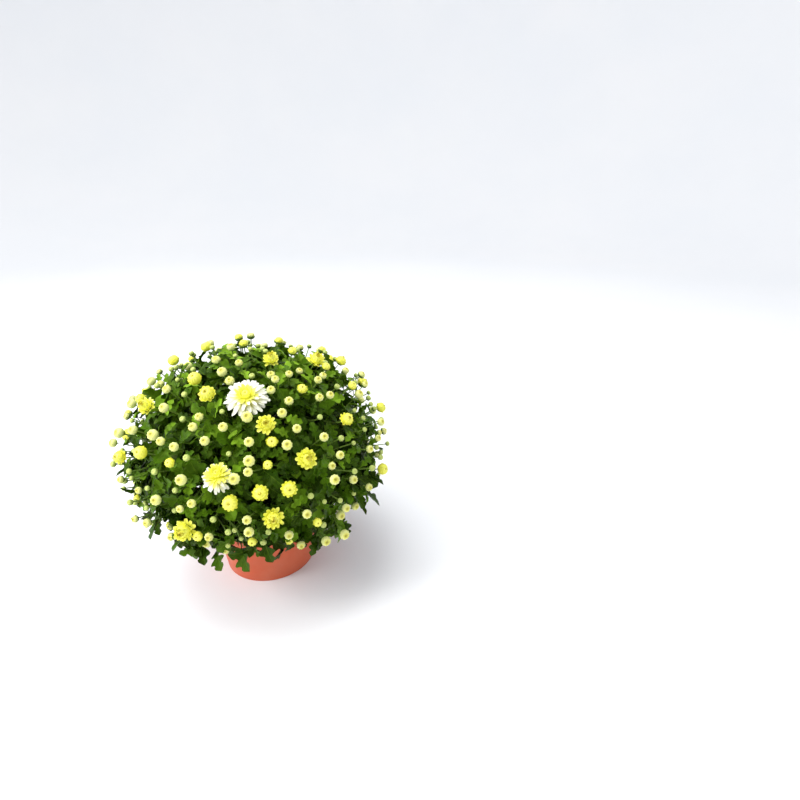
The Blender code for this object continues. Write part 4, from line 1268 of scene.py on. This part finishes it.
def make_leafy_stem(cone, blooms, small, spots, materials):
    """One leafy stem: its stems, leaves, buds and small cups, each a piece that stands for its node."""
    leaf, stem, bud, yellow = materials
    node = "leafy_stem_%02d" % (cone.number + 1)
    draw = random.Random(node)
    stems, leaves, buds, cups = Heap(), Heap(spots), Heap(), Heap()
    path = stem_path(cone)
    radii = [(STEM_RADIUS - STEM_TAPER * i / len(path)) * MM for i in range(len(path))]
    add_tube(stems, path, radii, sides=10, tone=0.3)
    add_leaves(leaves, path, OLD_SPAN, OLD_LEAVES, OLD_SIZES, draw)
    for head in blooms + small:
        if head.cone is not cone:
            continue
        add_shoot(stems, leaves, head, draw)
        if head.kind in ("bud", "green"):
            add_bud(buds, stems, head, draw)
            continue
        if head.kind == "opening":
            add_petals(cups, head, OPENING_RINGS, draw, size=0.98)
            add_dome(cups, head.place, head.axis, head.radius, sides=20)
        add_cup(stems, head)
    if cone.axis.z < HEM_CONES_BELOW:
        for twig in range(HEM_TWIGS):
            add_hem_twig(stems, leaves, cone, draw)
    for heap, ending, material, slot in (
        (stems, "_stems", stem, "stems"), (leaves, "_leaves", leaf, "foliage"),
        (buds, "_buds", bud, "buds_cream"), (cups, "_cups", yellow, "petals_yellow"),
    ):
        if heap.count:
            heap.piece(node + ending, material, slot, node)


def make_daisy(head, yellow, white, draw):
    """An open bloom: white rays round a yellow middle of shorter petals."""
    half = head.name == "bloom_half_daisy"
    ray_rings, middle_rings, middle_loose, wide, high = DAISY_FORMS[half]
    rays, middle = Heap(), Heap()
    skirt, crown = head, head
    if half:
        low, size = head.place + HALF_RAYS_SHIFT, head.radius * HALF_RAYS_SIZE
        skirt = Head(head.name, head.kind, low, size, HALF_RAYS_RISE)
        crown = Head(head.name, head.kind, head.place, head.radius * HALF_MIDDLE_SIZE, HALF_MIDDLE_RISE)
    add_petals(rays, skirt, ray_rings, draw, columns=FINE_COLUMNS, loose=0.4)
    rays.piece(head.name + "_white_petals", white, "petals_white", head.name + "_rays")
    add_petals(middle, crown, middle_rings, draw, columns=FINE_COLUMNS, loose=middle_loose, tips=0.06)
    top = crown.place + crown.axis * high * crown.radius
    add_dome(middle, top, crown.axis, crown.radius * wide)
    middle.piece(head.name + "_yellow_petals", yellow, "petals_yellow", head.name + "_middle")


def make_bloom(head, yellow, white):
    draw = random.Random(head.name)
    if head.kind == "daisy":
        make_daisy(head, yellow, white, draw)
        return
    petals = Heap()
    short = head.name.removeprefix("bloom_")
    loose = BALL if short in BALLS else TUFT if short in TUFTS else draw.uniform(*HALF_OPEN)
    add_petals(petals, head, CUP_RINGS, draw, columns=FINE_COLUMNS, loose=loose)
    add_dome(petals, head.place, head.axis, head.radius * (1 - DOME_SHRINK * loose))
    petals.piece(head.name + "_petals", yellow, "petals_yellow", head.name)


# Stage, light and camera


FLOOR_RADIUS = 2.2
WALL_RADIUS = 3.8
WALL_HEIGHT = 3.6
CURVE_STEPS = 12
# Name: place, size in metres, power in watts
LAMPS = {"key": ((-1.5, -0.7, 1.3), 0.8, 34), "sky": ((-0.3, 0.1, 2.0), 1.2, 22)}


def make_stage():
    """A plain pale floor that curves up to a wall all round, under soft studio light."""
    curve = WALL_RADIUS - FLOOR_RADIUS
    profile = [(0, 0), (FLOOR_RADIUS, 0)]
    for i in range(1, CURVE_STEPS + 1):
        angle = math.pi / 2 * i / CURVE_STEPS
        profile.append((FLOOR_RADIUS + curve * math.sin(angle), curve * (1 - math.cos(angle))))
    profile.append((WALL_RADIUS, WALL_HEIGHT))
    mesh = applied(turned("floor_form", profile, steps=64))
    mesh.name = "floor"
    mesh.shade_smooth()
    floor = linked("floor", mesh)
    f = Finish("floor_pale", 0.7)
    f.paint(f.ramp(f.noise(1.5), (0.3, (0.85, 0.86, 0.88)), (0.7, (0.88, 0.88, 0.89))))
    mesh.materials.append(f.material)


def make_light():
    world = bpy.data.worlds.new("studio")
    bpy.context.scene.world = world
    world.use_nodes = True
    background = world.node_tree.nodes["Background"]
    background.inputs["Color"].default_value = (0.96, 0.98, 1.0, 1)
    background.inputs["Strength"].default_value = 0.95
    for name, (place, size, power) in LAMPS.items():
        light = bpy.data.lights.new(name, "AREA")
        light.size = size
        light.energy = power
        lamp = linked(name, light)
        lamp.location = place
        lamp.rotation_euler = (BUSH_CENTRE - lamp.location).to_track_quat("-Z", "Y").to_euler()
        lamp.visible_camera = False


def make_camera():
    """The photograph's viewing angle."""
    camera = bpy.data.cameras.new("camera")
    camera.sensor_width = SENSOR_WIDTH
    camera.lens = FOCAL_PIXELS * SENSOR_WIDTH / (2 * MIDDLE_PIXEL)
    made = linked("camera", camera)
    made.location = CAMERA
    made.rotation_euler = (math.pi / 2 - CAMERA_PITCH, 0, 0)
    bpy.context.scene.camera = made
    bpy.context.scene.view_settings.view_transform = "Standard"


make_pot(pot_finish())
make_soil(soil_finish())
make_plant()
make_stage()
make_light()
make_camera()
